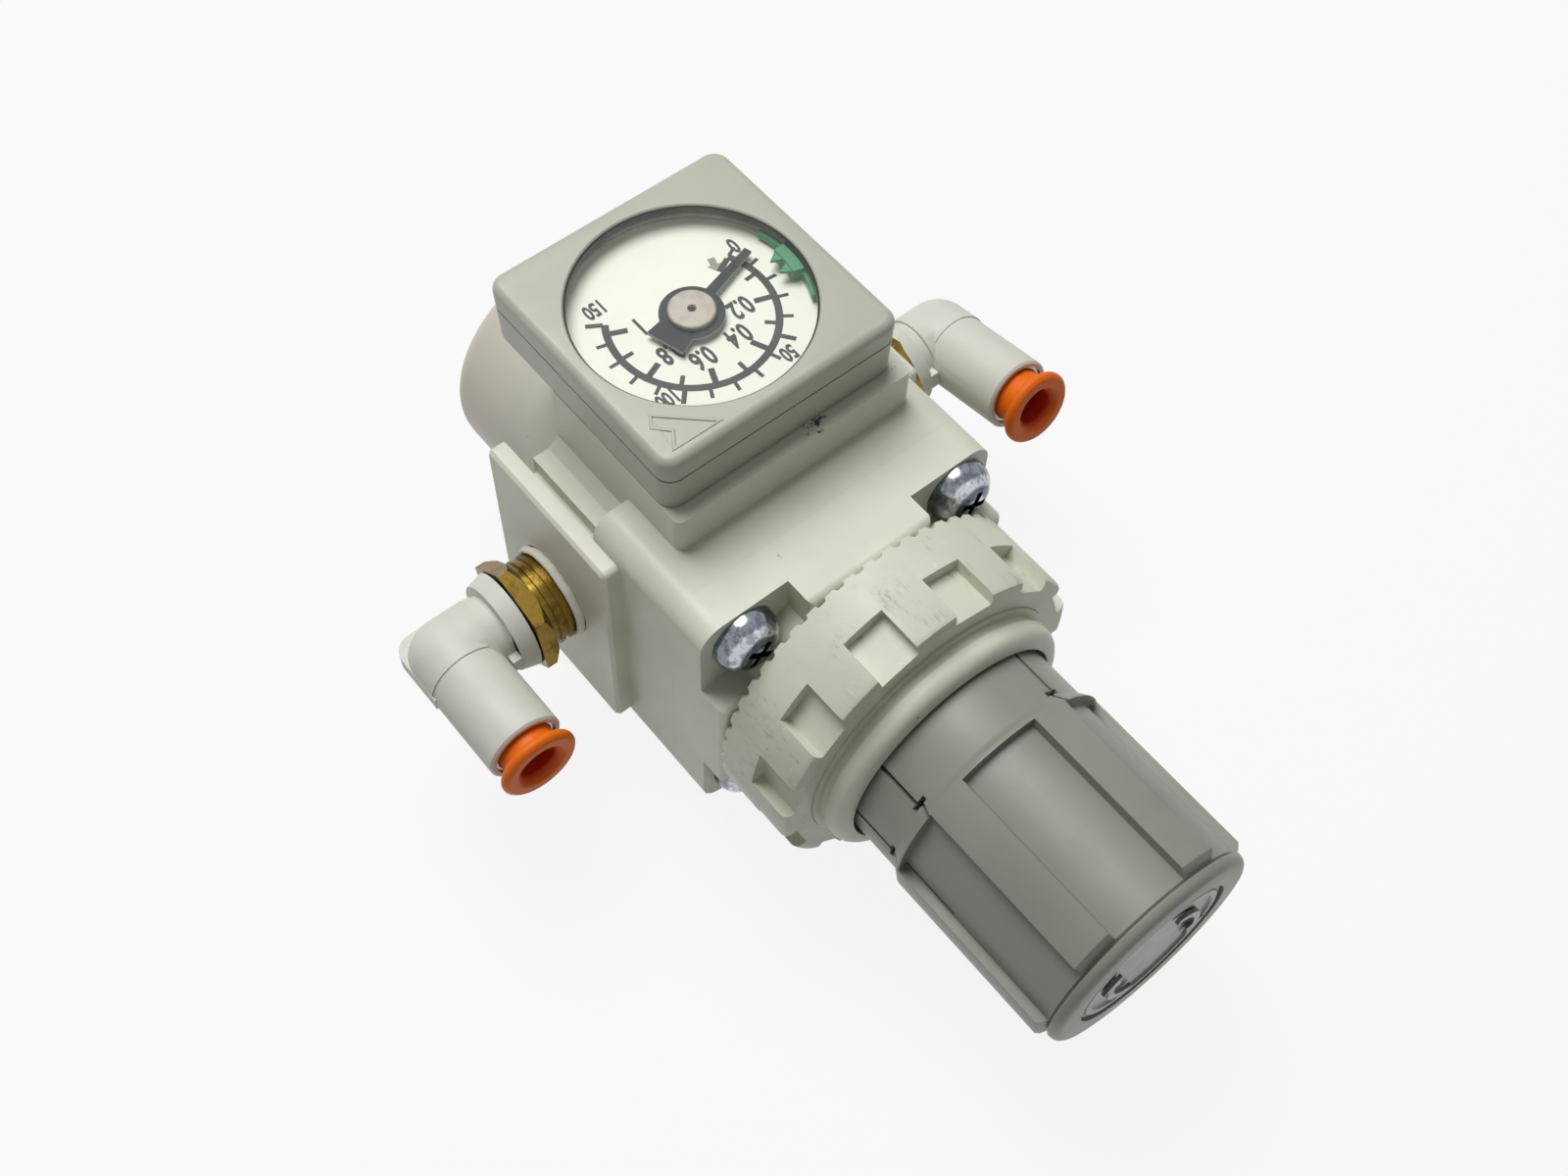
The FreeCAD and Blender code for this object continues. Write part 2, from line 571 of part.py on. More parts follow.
def make_bonnet_screws():
    """Pan-head screws with cross recesses, each left at its own turn."""
    screws = []
    for (x, z), turn in zip(screw_places(), (15, 40, 70, 25)):
        h = SCREW_HEAD_H
        head = revolve_y([(0, POCKET_Y), (SCREW_HEAD_R, POCKET_Y)]
                         + [(r, 2 * POCKET_Y - y) for r, y in quarter(SCREW_HEAD_R, POCKET_Y + 0.5, SCREW_HEAD_R * 0.7, h - 0.5)]
                         + [(0, POCKET_Y - h)], x, z)
        shank = cyl_y(SCREW_R, POCKET_Y - 0.5, SEAM_Y + SCREW_REACH, x, z)
        recess = fuse([box(-1.7, 1.7, POCKET_Y - h - 1, POCKET_Y - h + 1.5, -0.4, 0.4),
                       box(-0.4, 0.4, POCKET_Y - h - 1, POCKET_Y - h + 1.5, -1.7, 1.7)])
        recess.rotate(V(0, 0, 0), Y, turn)
        recess.translate(V(x, 0, z))
        screws.append(fuse([head, shank]).cut(recess))
    return Part.makeCompound(screws)


def make_set_nut():
    bore = NECK_R + RUN_FIT
    e = NUT_EDGE
    ring = revolve_y([(bore, NUT_BACK_Y), (NUT_R, NUT_BACK_Y), (NUT_R, NUT_FRONT_Y + e), (NUT_R - 0.3 * e, NUT_FRONT_Y + 0.35 * e),
                      (NUT_R - e, NUT_FRONT_Y), (bore, NUT_FRONT_Y)])
    notch = box(-NUT_NOTCH_W / 2, NUT_NOTCH_W / 2, NUT_FRONT_Y - 1, NUT_FRONT_Y + NUT_NOTCH_L,
                AXIS_Z + NUT_R - NUT_NOTCH_D, AXIS_Z + NUT_R + 1)
    tooth = Part.makeCylinder(NUT_TOOTH_R, 2.4, V(0, NUT_BACK_Y + 0.12, AXIS_Z + NUT_R - 0.95), Z)
    cuts = [spin(notch, NUT_NOTCH_PHASE + 360.0 * k / NUT_NOTCHES) for k in range(NUT_NOTCHES)]
    cuts += [spin(tooth, 360.0 * k / NUT_TEETH) for k in range(NUT_TEETH)]
    return ring.cut(Part.makeCompound(cuts))


# ---------------------------------------------------------------- knob
def make_knob():
    bore = KNOB_SKIRT_R - KNOB_WALL
    e = KNOB_RIM_EDGE_R
    end = [(r, 2 * KNOB_END_Y + e - y) for r, y in quarter(KNOB_RIM_R, KNOB_END_Y, e, e, 4)]
    shell = revolve_y([(bore, KNOB_IN_Y), (KNOB_SKIRT_R - 0.3, KNOB_IN_Y), (KNOB_SKIRT_R, KNOB_IN_Y - 0.3),
                       (KNOB_SKIRT_R, SHOULDER_Y), (KNOB_PAD_R, PAD_Y + 0.1), (KNOB_PAD_R, PAD_END_Y + 0.35),
                       (KNOB_PAD_R - 0.35, PAD_END_Y), (KNOB_FLOOR_R, PAD_END_Y - 0.3), (KNOB_FLOOR_R - 0.25, RIM_Y),
                       (KNOB_RIM_R, RIM_Y - 0.1)] + end
                      + [(DISC_R, KNOB_END_Y), (DISC_R, KNOB_END_Y + DISC_RECESS), (0, KNOB_END_Y + DISC_RECESS),
                         (0, KNOB_END_Y + KNOB_END_T), (bore, KNOB_END_Y + KNOB_END_T)])
    # wide recesses between the raised pads
    gap = 360.0 / KNOB_PADS - KNOB_PAD_ANGLE
    fan = [V(0, PAD_Y, AXIS_Z)] + [V(20 * math.sin(math.radians(gap * k / 8)), PAD_Y, AXIS_Z + 20 * math.cos(math.radians(gap * k / 8)))
                                   for k in range(-4, 5)]
    sector = Part.Face(Part.makePolygon(fan + fan[:1])).extrude(V(0, RIM_Y - PAD_Y, 0))
    sleeve = sector.cut(cyl_y(KNOB_FLOOR_R, PAD_END_Y - 2, PAD_Y + 1))
    first = KNOB_PAD_PHASE + 180.0 / KNOB_PADS
    cuts = [spin(sleeve, first + 360.0 * k / KNOB_PADS) for k in range(KNOB_PADS)]
    # spring fingers, each between two stepped slits
    w = KNOB_SLIT_W / 2
    z0, z1 = AXIS_Z + bore - 1, AXIS_Z + KNOB_PAD_R + 2
    half = KNOB_FINGER_ANGLE / 2
    for k in range(KNOB_FINGERS):
        centre = first + 360.0 * k / KNOB_FINGERS
        for side in (-1, 1):
            cuts.append(spin(box(-w, w, SHOULDER_Y + 0.4, KNOB_IN_Y + 1, z0, z1), centre + side * half))
            cuts.append(spin(box(-w, w, SHOULDER_Y - KNOB_FINGER_L, SHOULDER_Y + 0.6, z0, z1), centre + side * (gap / 2 - 1.6)))
            cuts.append(spin(box(-0.95, 0.95, SHOULDER_Y + 0.2, SHOULDER_Y + 0.7, z0, z1), centre + side * (half + 1.1)))
    knob = shell.cut(Part.makeCompound(cuts))
    boss_end = KNOB_END_Y + KNOB_END_T + KNOB_BOSS_L
    boss = cyl_y(KNOB_BOSS_R, KNOB_END_Y + KNOB_END_T - 1, boss_end)
    boss = boss.cut(hexagon(HEX_AF + 2 * RUN_FIT, -Y, V(0, boss_end + 1, AXIS_Z), KNOB_BOSS_L + 1))
    return fuse([knob, boss])


def make_knob_disc():
    face = KNOB_END_Y + 0.35
    disc = cyl_y(DISC_R - RUN_FIT, face, KNOB_END_Y + DISC_RECESS)
    relief = cyl_y(DISC_R - 0.7, face - 0.25, face + 0.1).cut(cyl_y(DISC_R - 1.5, face - 1, face + 1))
    return fuse([disc, relief])


def make_adjusting_screw():
    """Hexagon inside the knob, neck through the tower's roof, thrust collar and thread."""
    roof = TOWER_ROOF_Y + RUN_FIT
    tip = TOWER_ROOF_Y + SCREW_L
    rod = revolve_y([(0, TOWER_END_Y - SEAT), (THREAD_R, TOWER_END_Y - SEAT), (THREAD_R, roof), (COLLAR_R, roof),
                     (COLLAR_R, roof + COLLAR_T), (THREAD_R, roof + COLLAR_T), (THREAD_R, tip - 0.6), (THREAD_R - 0.5, tip), (0, tip)])
    return fuse([rod, hexagon(HEX_AF, -Y, V(0, TOWER_END_Y - SEAT, AXIS_Z), HEX_L)])


def make_spring_nut():
    end = LOADER_Y + LOADER_T
    nut = cyl_y(SPRING_BORE_R - 0.3, LOADER_Y, end)
    lugs = box(-SPRING_BORE_R - KEYWAY_D + 0.2, SPRING_BORE_R + KEYWAY_D - 0.2, LOADER_Y, end,
               AXIS_Z - KEYWAY_W / 2 + 0.1, AXIS_Z + KEYWAY_W / 2 - 0.1)
    boss = cyl_y(LOADER_BOSS_R, LOADER_Y, end + LOADER_BOSS_L)
    return fuse([nut, lugs, boss]).cut(cyl_y(THREAD_R + RUN_FIT, LOADER_Y - 1, end + LOADER_BOSS_L + 1))


# ---------------------------------------------------------------- diaphragm and valve
def make_diaphragm():
    """Clamped rubber sheet with a rolled fold between its rim and its plates."""
    t, y = DIAPHRAGM_T, SEAM_Y
    a, b = PLATE_R + 0.4, UPPER_BORE_R - 0.4
    fold = [(a + (b - a) * k / 6.0, y - ROLL_H * math.sin(math.pi * k / 6.0)) for k in range(7)]
    return revolve_y([(STEM_R + RUN_FIT, y)] + fold + [(DIAPHRAGM_R, y), (DIAPHRAGM_R, y + t)]
                     + [(r, q + t) for r, q in reversed(fold)] + [(STEM_R + RUN_FIT, y + t)])


def make_diaphragm_plate():
    return revolve_y([(STEM_R, SEAM_Y), (PLATE_R, SEAM_Y), (PLATE_R, PLATE_TOP_Y), (PLATE_BOSS_R, PLATE_TOP_Y),
                      (PLATE_BOSS_R, PLATE_TOP_Y - PLATE_BOSS_L), (STEM_R, PLATE_TOP_Y - PLATE_BOSS_L)])


def make_diaphragm_stem():
    y = STEM_PLATE_Y
    return revolve_y([(0, PLATE_TOP_Y - PLATE_BOSS_L - 0.7), (STEM_R, PLATE_TOP_Y - PLATE_BOSS_L - 0.7), (STEM_R, y), (STEM_PLATE_R, y),
                      (STEM_PLATE_R, y + STEM_PLATE_T), (STEM_R, y + STEM_PLATE_T), (STEM_R, STEM_END_Y), (0, STEM_END_Y)])


def make_valve():
    seat = LOWER_ROOF_Y + 0.02
    flat = LOWER_ROOF_Y + VALVE_T
    return revolve_y([(0, STEM_END_Y + RUN_FIT), (VALVE_PIN_R, STEM_END_Y + RUN_FIT), (VALVE_PIN_R, seat), (VALVE_R, seat), (VALVE_R, flat),
                      (VALVE_BOSS_R, flat), (VALVE_BOSS_R, VALVE_END_Y), (GUIDE_R, VALVE_END_Y), (GUIDE_R, VALVE_END_Y + GUIDE_L),
                      (0, VALVE_END_Y + GUIDE_L)])


# ---------------------------------------------------------------- gauge
def square_z(half, z0, z1, r):
    b = box(COVER_X - half, COVER_X + half, COVER_Y - half, COVER_Y + half, z0, z1)
    return b.makeFillet(r, long_edges(b, "Z"))


def leaning_square(half0, half1, z0, z1, r):
    """Square block with rounded corners whose walls lean from one half width to the other."""
    wires = []
    for half, z in ((half0, z0), (half1, z1)):
        face = min(square_z(half, z, z + 1, r).Faces, key=lambda f: f.CenterOfMass.z)
        wires.append(face.OuterWire)
    return Part.makeLoft(wires, True, True)


def make_gauge_cover():
    cover = leaning_square(COVER_FOOT_HALF, COVER_HALF, COVER_BOTTOM_Z, COVER_TOP_Z, COVER_CORNER_R)
    cover = cover.makeFillet(COVER_TOP_R, edges_in_plane(cover, "Z", COVER_TOP_Z))
    groove_z = COVER_BOTTOM_Z + COVER_PARTING_H
    parting = square_z(COVER_HALF + 1, groove_z, groove_z + COVER_PARTING_W, COVER_CORNER_R).cut(
        square_z(COVER_FOOT_HALF + (COVER_HALF - COVER_FOOT_HALF) * COVER_PARTING_H / COVER_H - COVER_PARTING_D,
                 groove_z - 1, groove_z + 1, COVER_CORNER_R))
    cover = cut(cover, [
        square_z(COVER_FOOT_HALF - COVER_WALL, COVER_BOTTOM_Z - 1, DIAL_Z - 0.4, COVER_CORNER_R - 1.0),
        gauge_cyl(DIAL_R + RUN_FIT, DIAL_Z - 1, COVER_ROOF_Z),
        gauge_cyl(OPENING_R, DIAL_Z, COVER_TOP_Z + 1),
        Part.makeCone(OPENING_R, OPENING_R + OPENING_EDGE + 0.01, OPENING_EDGE + 0.01,
                      V(DIAL_X, DIAL_Y, COVER_TOP_Z - OPENING_EDGE), Z),
        parting,
    ])
    # arrowhead by the corner that shows which way the cover unlocks
    arrow = plate([V(x, y, COVER_TOP_Z - 0.05) for x, y in ((-11.3, -6.3), (-6.6, -10.7), (-11.9, -10.7))], 1)
    return cover.cut(arrow)


def make_gauge_case():
    z = PAD_TOP_Z
    top = DIAL_Z - DIAL_T
    case = fuse([square_z(CASE_HALF, z, z + CASE_BASE_T, COVER_CORNER_R - 1.0),
                 gauge_cyl(CASE_WALL_R, z + CASE_BASE_T - 0.5, top),
                 cyl_z(CASE_SPIGOT_R, z - 2 * GAUGE_SEAL_R, z + 0.5, 0, GAUGE_PORT_Y)])
    cuts = [gauge_cyl(CASE_BORE_R, z + CASE_FLOOR_T, top + 1), cyl_z(0.6, z - 2, z + 2, 0, GAUGE_PORT_Y)]
    for x, y in gauge_screw_places():
        cuts += [cyl_z(GAUGE_SCREW_HEAD_R + 2 * RUN_FIT, z + 1.3, top + 1, x, y), cyl_z(GAUGE_SCREW_R + RUN_FIT, z - 1, z + 2, x, y)]
    return cut(case, cuts)


def make_gauge_screws():
    screws = []
    seat = PAD_TOP_Z + 1.3
    for x, y in gauge_screw_places():
        screw = fuse([cyl_z(GAUGE_SCREW_HEAD_R, seat, seat + 1.15, x, y),
                      cyl_z(GAUGE_SCREW_R, AXIS_Z + CORE_HALF_Z + 0.9, seat + 0.4, x, y)])
        screws.append(screw.cut(box(x - 1.3, x + 1.3, y - 0.3, y + 0.3, seat + 0.7, seat + 2)))
    return Part.makeCompound(screws)


def make_gauge_movement():
    z = PAD_TOP_Z + CASE_FLOOR_T
    return fuse([gauge_cyl(8.4, z, z + 0.8), gauge_cyl(6.0, z, DIAL_Z - DIAL_T - 0.7)]).cut(gauge_cyl(SHAFT_R + RUN_FIT, z + 1.0, DIAL_Z))


def make_dial():
    return gauge_cyl(DIAL_R, DIAL_Z - DIAL_T, DIAL_Z).cut(gauge_cyl(SHAFT_R + RUN_FIT, DIAL_Z - 2, DIAL_Z + 1))


def make_pointer():
    """Black plate with a slim needle and a blunt flared tail."""
    tail = [(-POINTER_TAIL_R, -2.15), (-2.4, -1.9), (-2.4, 1.9), (-POINTER_TAIL_R, 2.15)]
    needle = [(2.0, -0.62), (POINTER_TIP_R, -0.42), (POINTER_TIP_R, 0.42), (2.0, 0.62)]
    blank = fuse([Part.makeCylinder(POINTER_RING_R, POINTER_T, V(0, 0, 0), Z)]
                 + [plate([V(x, y, 0) for x, y in p], POINTER_T) for p in (tail, needle)])
    blank = blank.cut(Part.makeCylinder(SHAFT_R, 3, V(0, 0, -1), Z))
    blank.rotate(V(0, 0, 0), Z, 90.0 - POINTER_ANGLE)
    blank.translate(V(DIAL_X, DIAL_Y, POINTER_Z))
    return blank


def make_pointer_hub():
    top = HUB_Z + HUB_H
    hub = gauge_cyl(HUB_R, HUB_Z, top)
    hub = hub.makeChamfer(0.15, edges_in_plane(hub, "Z", top))
    return fuse([hub, gauge_cyl(SHAFT_R, PAD_TOP_Z + CASE_FLOOR_T + 1.1, HUB_Z + 0.1)]).cut(gauge_cyl(0.42, top - 0.2, top + 1))


def arc_plate(r0, r1, mid, span, z0, z1, steps=8):
    a0, a1 = mid - span / 2, mid + span / 2
    pts = [gauge_polar(a0 + (a1 - a0) * k / steps, r1, z0) for k in range(steps + 1)]
    pts += [gauge_polar(a1 + (a0 - a1) * k / steps, r0, z0) for k in range(steps + 1)]
    return plate(pts, z1 - z0)


def make_limit_indicator():
    """Grip block on a curved foot that slides under the cover's lip, with two arrowheads over the scale."""
    z = DIAL_Z + LIMIT_LIFT
    low = HUB_Z + LIMIT_HEAD_LIFT
    foot = arc_plate(OPENING_R - 0.3, DIAL_R - LOOSE_FIT, LIMIT_ANGLE, LIMIT_FOOT_SPAN, z, COVER_ROOF_Z - 1.25 * SEAT)
    block = arc_plate(LIMIT_IN_R, OPENING_R - RUN_FIT, LIMIT_ANGLE, LIMIT_SPAN, z, z + LIMIT_H, 6)
    heads = []
    for a in (-4.5, 5.0):
        pts = [gauge_polar(LIMIT_ANGLE + a - 4.5, LIMIT_IN_R + 0.2, low), gauge_polar(LIMIT_ANGLE + a + 3.5, LIMIT_IN_R + 0.2, low),
               gauge_polar(LIMIT_ANGLE + a, LIMIT_TIP_R, low)]
        heads.append(plate(pts, LIMIT_HEAD_T))
    return fuse([foot, block] + heads)


def make_window():
    return gauge_cyl(OPENING_R - 0.02, WINDOW_Z, WINDOW_Z + WINDOW_T)


# ---------------------------------------------------------------- elbow fittings (side s = -1 or +1)
def swivelled(shape, s):
    """Turn a piece of the elbow about the port axis to the way it lies."""
    if SWIVEL_REST[s]:
        shape.rotate(V(0, 0, AXIS_Z), X, SWIVEL_REST[s])
    return shape


def make_stud(s):
    parts = [
        cyl_x(PORT_THREAD_R, s * (FLANGE_FACE_X - STUD_THREAD_L), s * FLANGE_FACE_X),
        cyl_x(STUD_NECK_R, s * (FLANGE_FACE_X - 0.1), s * (HEX_X + 0.1)),
        cyl_x(STUD_SPIGOT_R, s * (HEX_END_X - 0.1), s * STUD_END_X),
    ]
    # thread crests that stay in sight between the seal and the hexagon
    for k in range(2):
        x = FLANGE_FACE_X + STUD_SEAL_T + 0.5 + 0.95 * k
        parts.append(cyl_x(STUD_NECK_R + 0.3, s * x, s * (x + 0.45)))
    hexagonal = hexagon(STUD_HEX_AF, V(s, 0, 0), V(s * HEX_X, 0, AXIS_Z), STUD_HEX_L, 12.0)
    half = STUD_HEX_AF / 2
    cone = Part.makeCone(half + 0.1, half + STUD_HEX_L + 0.1, STUD_HEX_L, V(s * HEX_X, 0, AXIS_Z), V(s, 0, 0))
    parts.append(hexagonal.common(cone))
    return fuse(parts).cut(cyl_x(STUD_BORE_R, s * (FLANGE_FACE_X - STUD_THREAD_L - 1), s * (STUD_END_X + 1)))


def make_stud_seal(s):
    return cyl_x(STUD_SEAL_R, s * FLANGE_FACE_X, s * (FLANGE_FACE_X + STUD_SEAL_T)).cut(cyl_x(STUD_NECK_R, s * 10, s * 30))


def make_elbow(s):
    """Moulded elbow: collar and arm round the brass spigot, bend, wider tube socket along -Y, flat web."""
    collar = Part.makeCone(ELBOW_COLLAR_R, ELBOW_COLLAR_R - ELBOW_COLLAR_LEAN, ELBOW_COLLAR_L, V(s * COLLAR_X, 0, AXIS_Z), V(s, 0, 0))
    waist = cyl_x(WAIST_R, s * (COLLAR_X + 0.5), s * TUBE_X)
    arm = cyl_x(BEND_R, s * (COLLAR_X + ELBOW_COLLAR_L + WAIST_L), s * TUBE_X)
    ball = Part.makeSphere(BEND_R, V(s * TUBE_X, 0, AXIS_Z))
    bend = cyl_y(BEND_R, -SOCKET_STEP_Y - 0.5, 0.0, s * TUBE_X)
    socket = revolve_y([(0, -SOCKET_END_Y), (SOCKET_R - 0.25, -SOCKET_END_Y), (SOCKET_R, -SOCKET_END_Y + 0.25), (SOCKET_R, -SOCKET_STEP_Y - 0.3),
                        (SOCKET_R - 0.3, -SOCKET_STEP_Y), (0, -SOCKET_STEP_Y)], s * TUBE_X)
    x0, x1 = sorted((s * (COLLAR_X + 1.0), s * (TUBE_X + WEB_OUT_X)))
    web = box(x0, x1, -WEB_FRONT_Y, WEB_BACK_Y, AXIS_Z - WEB_T / 2, AXIS_Z + WEB_T / 2)
    corner = [e for e in long_edges(web, "Z") if abs(abs(e.Vertexes[0].X) - (TUBE_X + WEB_OUT_X)) < 1e-6 and e.Vertexes[0].Y > 0]
    web = web.makeFillet(WEB_CORNER_R, corner)
    a, b = sorted((s * (COLLAR_X + 1.0), s * (COLLAR_X + 1.0 + LUG_L)))
    lug = box(a, b, -LUG_FRONT_Y, 0, AXIS_Z - WEB_T / 2, AXIS_Z + WEB_T / 2)
    elbow = fuse([collar, waist, arm, ball, bend, socket, web, lug])
    chuck_end = SOCKET_END_Y - 0.3 - CHUCK_L
    return cut(elbow, [
        cyl_x(STUD_SPIGOT_R + RUN_FIT, s * (COLLAR_X - 1), s * (STUD_END_X + SEAT)),
        cyl_x(SEAL_POCKET_R, s * (COLLAR_X - 1), s * (COLLAR_X + SEAL_POCKET_L)),
        cyl_x(STUD_BORE_R, s * STUD_END_X, s * (TUBE_X + 0.5)),
        cyl_y(ELBOW_BORE_R, -TUBE_SEAL_Y - 1, 0.5, s * TUBE_X),
        cyl_y(TUBE_SEAL_R, -SOCKET_END_Y - 1, -TUBE_SEAL_Y, s * TUBE_X),
        cyl_y(CHUCK_R, -SOCKET_END_Y - 1, -chuck_end + 0.05, s * TUBE_X),
    ])


def make_elbow_seal(s):
    return cyl_x(SEAL_POCKET_R, s * (COLLAR_X + SEAL_POCKET_L - 1.5), s * (COLLAR_X + SEAL_POCKET_L)).cut(
        cyl_x(STUD_SPIGOT_R + RUN_FIT, s * 10, s * 40))


def make_tube_seal(s):
    return cyl_y(TUBE_SEAL_R, -TUBE_SEAL_Y - TUBE_SEAL_L, -TUBE_SEAL_Y, s * TUBE_X).cut(
        cyl_y(BUTTON_BORE_R, -SOCKET_END_Y, 0, s * TUBE_X))


def make_chuck(s):
    """Gripping collet: a thin cup open towards the tube, with the tube's hole in its floor."""
    mouth = SOCKET_END_Y - 0.3
    end = mouth - CHUCK_L
    return cut(cyl_y(CHUCK_R, -mouth, -end, s * TUBE_X), [
        cyl_y(CHUCK_R - CHUCK_WALL, -mouth - 1, -end - CHUCK_FLOOR_T, s * TUBE_X),
        cyl_y(BUTTON_BORE_R + 0.3, -mouth - 1, -end + 1, s * TUBE_X)])


def make_release_button(s):
    a = SOCKET_END_Y + BUTTON_GAP[s]
    b = a + BUTTON_T
    sleeve = cyl_y(BUTTON_SLEEVE_R, -a - 0.2, -a + BUTTON_SLEEVE_L, s * TUBE_X)
    flange = revolve_y([(0, -a), (BUTTON_R - 0.3, -a), (BUTTON_R, -a - 0.3), (BUTTON_R, -b + 0.4), (BUTTON_R - 0.4, -b), (0, -b)], s * TUBE_X)
    mouth = Part.makeCone(BUTTON_BORE_R + BUTTON_MOUTH, BUTTON_BORE_R, BUTTON_MOUTH, V(s * TUBE_X, -b - 0.001, AXIS_Z), Y)
    return cut(fuse([sleeve, flange]), [cyl_y(BUTTON_BORE_R, -b - 1, -a + BUTTON_SLEEVE_L + 1, s * TUBE_X), mouth])


def main():
    parts = {
        "body": make_body(),
        "bottom_cap": make_bottom_cap(),
        "cap_seal": ring_seal(CAP_SPIGOT_R + 1.3 * CAP_SEAL_R, CAP_SEAL_R, V(0, CAP_FACE_Y - CAP_SEAL_R, AXIS_Z), Y),
        "back_plug": make_back_plug(),
        "bonnet": make_bonnet(),
        "bonnet_screws": make_bonnet_screws(),
        "set_nut": make_set_nut(),
        "knob": make_knob(),
        "knob_disc": make_knob_disc(),
        "adjusting_screw": make_adjusting_screw(),
        "spring_nut": make_spring_nut(),
        "regulating_spring": coil(SPRING_MEAN_R, SPRING_WIRE_R, LOADER_Y + LOADER_T, PLATE_TOP_Y, SPRING_TURNS, 6, 16),
        "diaphragm": make_diaphragm(),
        "diaphragm_plate": make_diaphragm_plate(),
        "diaphragm_stem": make_diaphragm_stem(),
        "valve": make_valve(),
        "valve_spring": coil(VALVE_SPRING_MEAN_R, VALVE_SPRING_WIRE_R, LOWER_ROOF_Y + VALVE_T, CAP_SHOULDER_Y, VALVE_SPRING_TURNS, 5, 14),
        "gauge_case": make_gauge_case(),
        "gauge_seal": ring_seal(GAUGE_SEAL_MEAN_R, GAUGE_SEAL_R, V(0, GAUGE_PORT_Y, PAD_TOP_Z - GAUGE_SEAL_R), Z),
        "gauge_screws": make_gauge_screws(),
        "gauge_movement": make_gauge_movement(),
        "gauge_cover": make_gauge_cover(),
        "window": make_window(),
        "dial": make_dial(),
        "pointer": make_pointer(),
        "pointer_hub": make_pointer_hub(),
        "limit_indicator": make_limit_indicator(),
    }
    for s, side in ((-1, "left"), (1, "right")):
        parts["stud_" + side] = make_stud(s)
        parts["stud_seal_" + side] = make_stud_seal(s)
        for name, make in (("elbow", make_elbow), ("elbow_seal", make_elbow_seal), ("tube_seal", make_tube_seal),
                           ("chuck", make_chuck), ("release_button", make_release_button)):
            parts[name + "_" + side] = swivelled(make(s), s)
    os.makedirs("parts", exist_ok=True)
    for name, shape in parts.items():
        solids = shape.Solids
        if not solids or not shape.isValid() or any(p.Volume <= 0 for p in solids):
            print("PROBLEM", name, len(solids), shape.isValid())
        print("%-22s solids %d  volume %9.2f" % (name, len(solids), sum(p.Volume for p in solids)))
        shape.exportStep("parts/%s.step" % name)


if __name__ == "__main__":
    main()
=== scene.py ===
"""Looks of a pneumatic pressure regulator on its CAD frame: housing, printed gauge, knob and fittings."""

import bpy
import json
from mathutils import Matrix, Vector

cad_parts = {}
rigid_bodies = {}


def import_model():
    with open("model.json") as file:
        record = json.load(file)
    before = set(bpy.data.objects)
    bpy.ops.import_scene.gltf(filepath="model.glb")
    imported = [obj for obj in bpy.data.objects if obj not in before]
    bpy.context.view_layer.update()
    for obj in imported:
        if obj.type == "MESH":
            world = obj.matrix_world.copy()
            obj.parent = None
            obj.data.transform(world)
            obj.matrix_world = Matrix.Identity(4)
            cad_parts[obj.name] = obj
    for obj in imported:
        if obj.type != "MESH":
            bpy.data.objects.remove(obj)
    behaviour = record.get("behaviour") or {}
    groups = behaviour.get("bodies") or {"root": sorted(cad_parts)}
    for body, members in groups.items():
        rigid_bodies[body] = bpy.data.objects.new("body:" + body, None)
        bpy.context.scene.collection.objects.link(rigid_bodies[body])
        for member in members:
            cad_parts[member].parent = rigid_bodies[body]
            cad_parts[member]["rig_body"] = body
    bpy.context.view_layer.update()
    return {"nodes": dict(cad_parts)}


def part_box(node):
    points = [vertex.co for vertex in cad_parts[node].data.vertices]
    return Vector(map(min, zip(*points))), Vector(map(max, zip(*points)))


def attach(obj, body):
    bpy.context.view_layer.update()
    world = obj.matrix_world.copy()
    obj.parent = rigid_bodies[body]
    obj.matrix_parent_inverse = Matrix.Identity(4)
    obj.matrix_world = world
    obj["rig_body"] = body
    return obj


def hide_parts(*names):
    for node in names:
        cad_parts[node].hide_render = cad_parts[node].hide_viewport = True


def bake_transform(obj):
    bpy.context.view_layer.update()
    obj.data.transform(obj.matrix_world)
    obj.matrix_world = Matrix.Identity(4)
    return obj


bl_info = {
    "name": "Pneumatic regulator",
    "version": (1, 0, 0),
    "blender": (4, 5, 0),
    "location": "3D View > Sidebar > Regulator",
    "description": "Builds the visible surfaces, print and materials of a pressure regulator on its CAD frame",
    "category": "Object",
}

import json
import math
import bmesh
import bpy
import numpy as np
from mathutils import Matrix

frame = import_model()
MM = 0.001


def corner(node, side):
    """Lowest (side 0) or highest (side 1) corner of a CAD node in millimetres."""
    return [round(v / MM, 3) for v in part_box(node)[side]]


# Places shared with the CAD model, in millimetres
AXIS_Z = 20.0
DIAL = np.array([0.0, 1.95])
DIAL_Z = corner("dial", 1)[2]
COVER_TOP_Z = corner("gauge_cover", 1)[2]
POINTER_TOP_Z = corner("pointer", 1)[2]
DISC_FACE_Y = corner("knob_disc", 0)[1]
SCREW_MID_X = 0.3
SCREW_SPREAD_X = 13.6
SCREW_SPREAD_Z = 13.4
TUBE_X = 33.3
RIGHT_ELBOW_TURN = 11.5

# Dial print: angles in degrees clockwise from +Y, radii and widths in millimetres
SCALE_ZERO = 63.0
SCALE_SPAN = 231.5
ARC_START = SCALE_ZERO - 0.5
ARC_END = SCALE_ZERO + 239.4
ARC_IN_R = 8.05
ARC_OUT_R = 8.8
OUTER_ZERO = 62.9
OUTER_STEP = 1.596
TICK_LIFT = 0.004
NUMBER_LIFT = 0.008
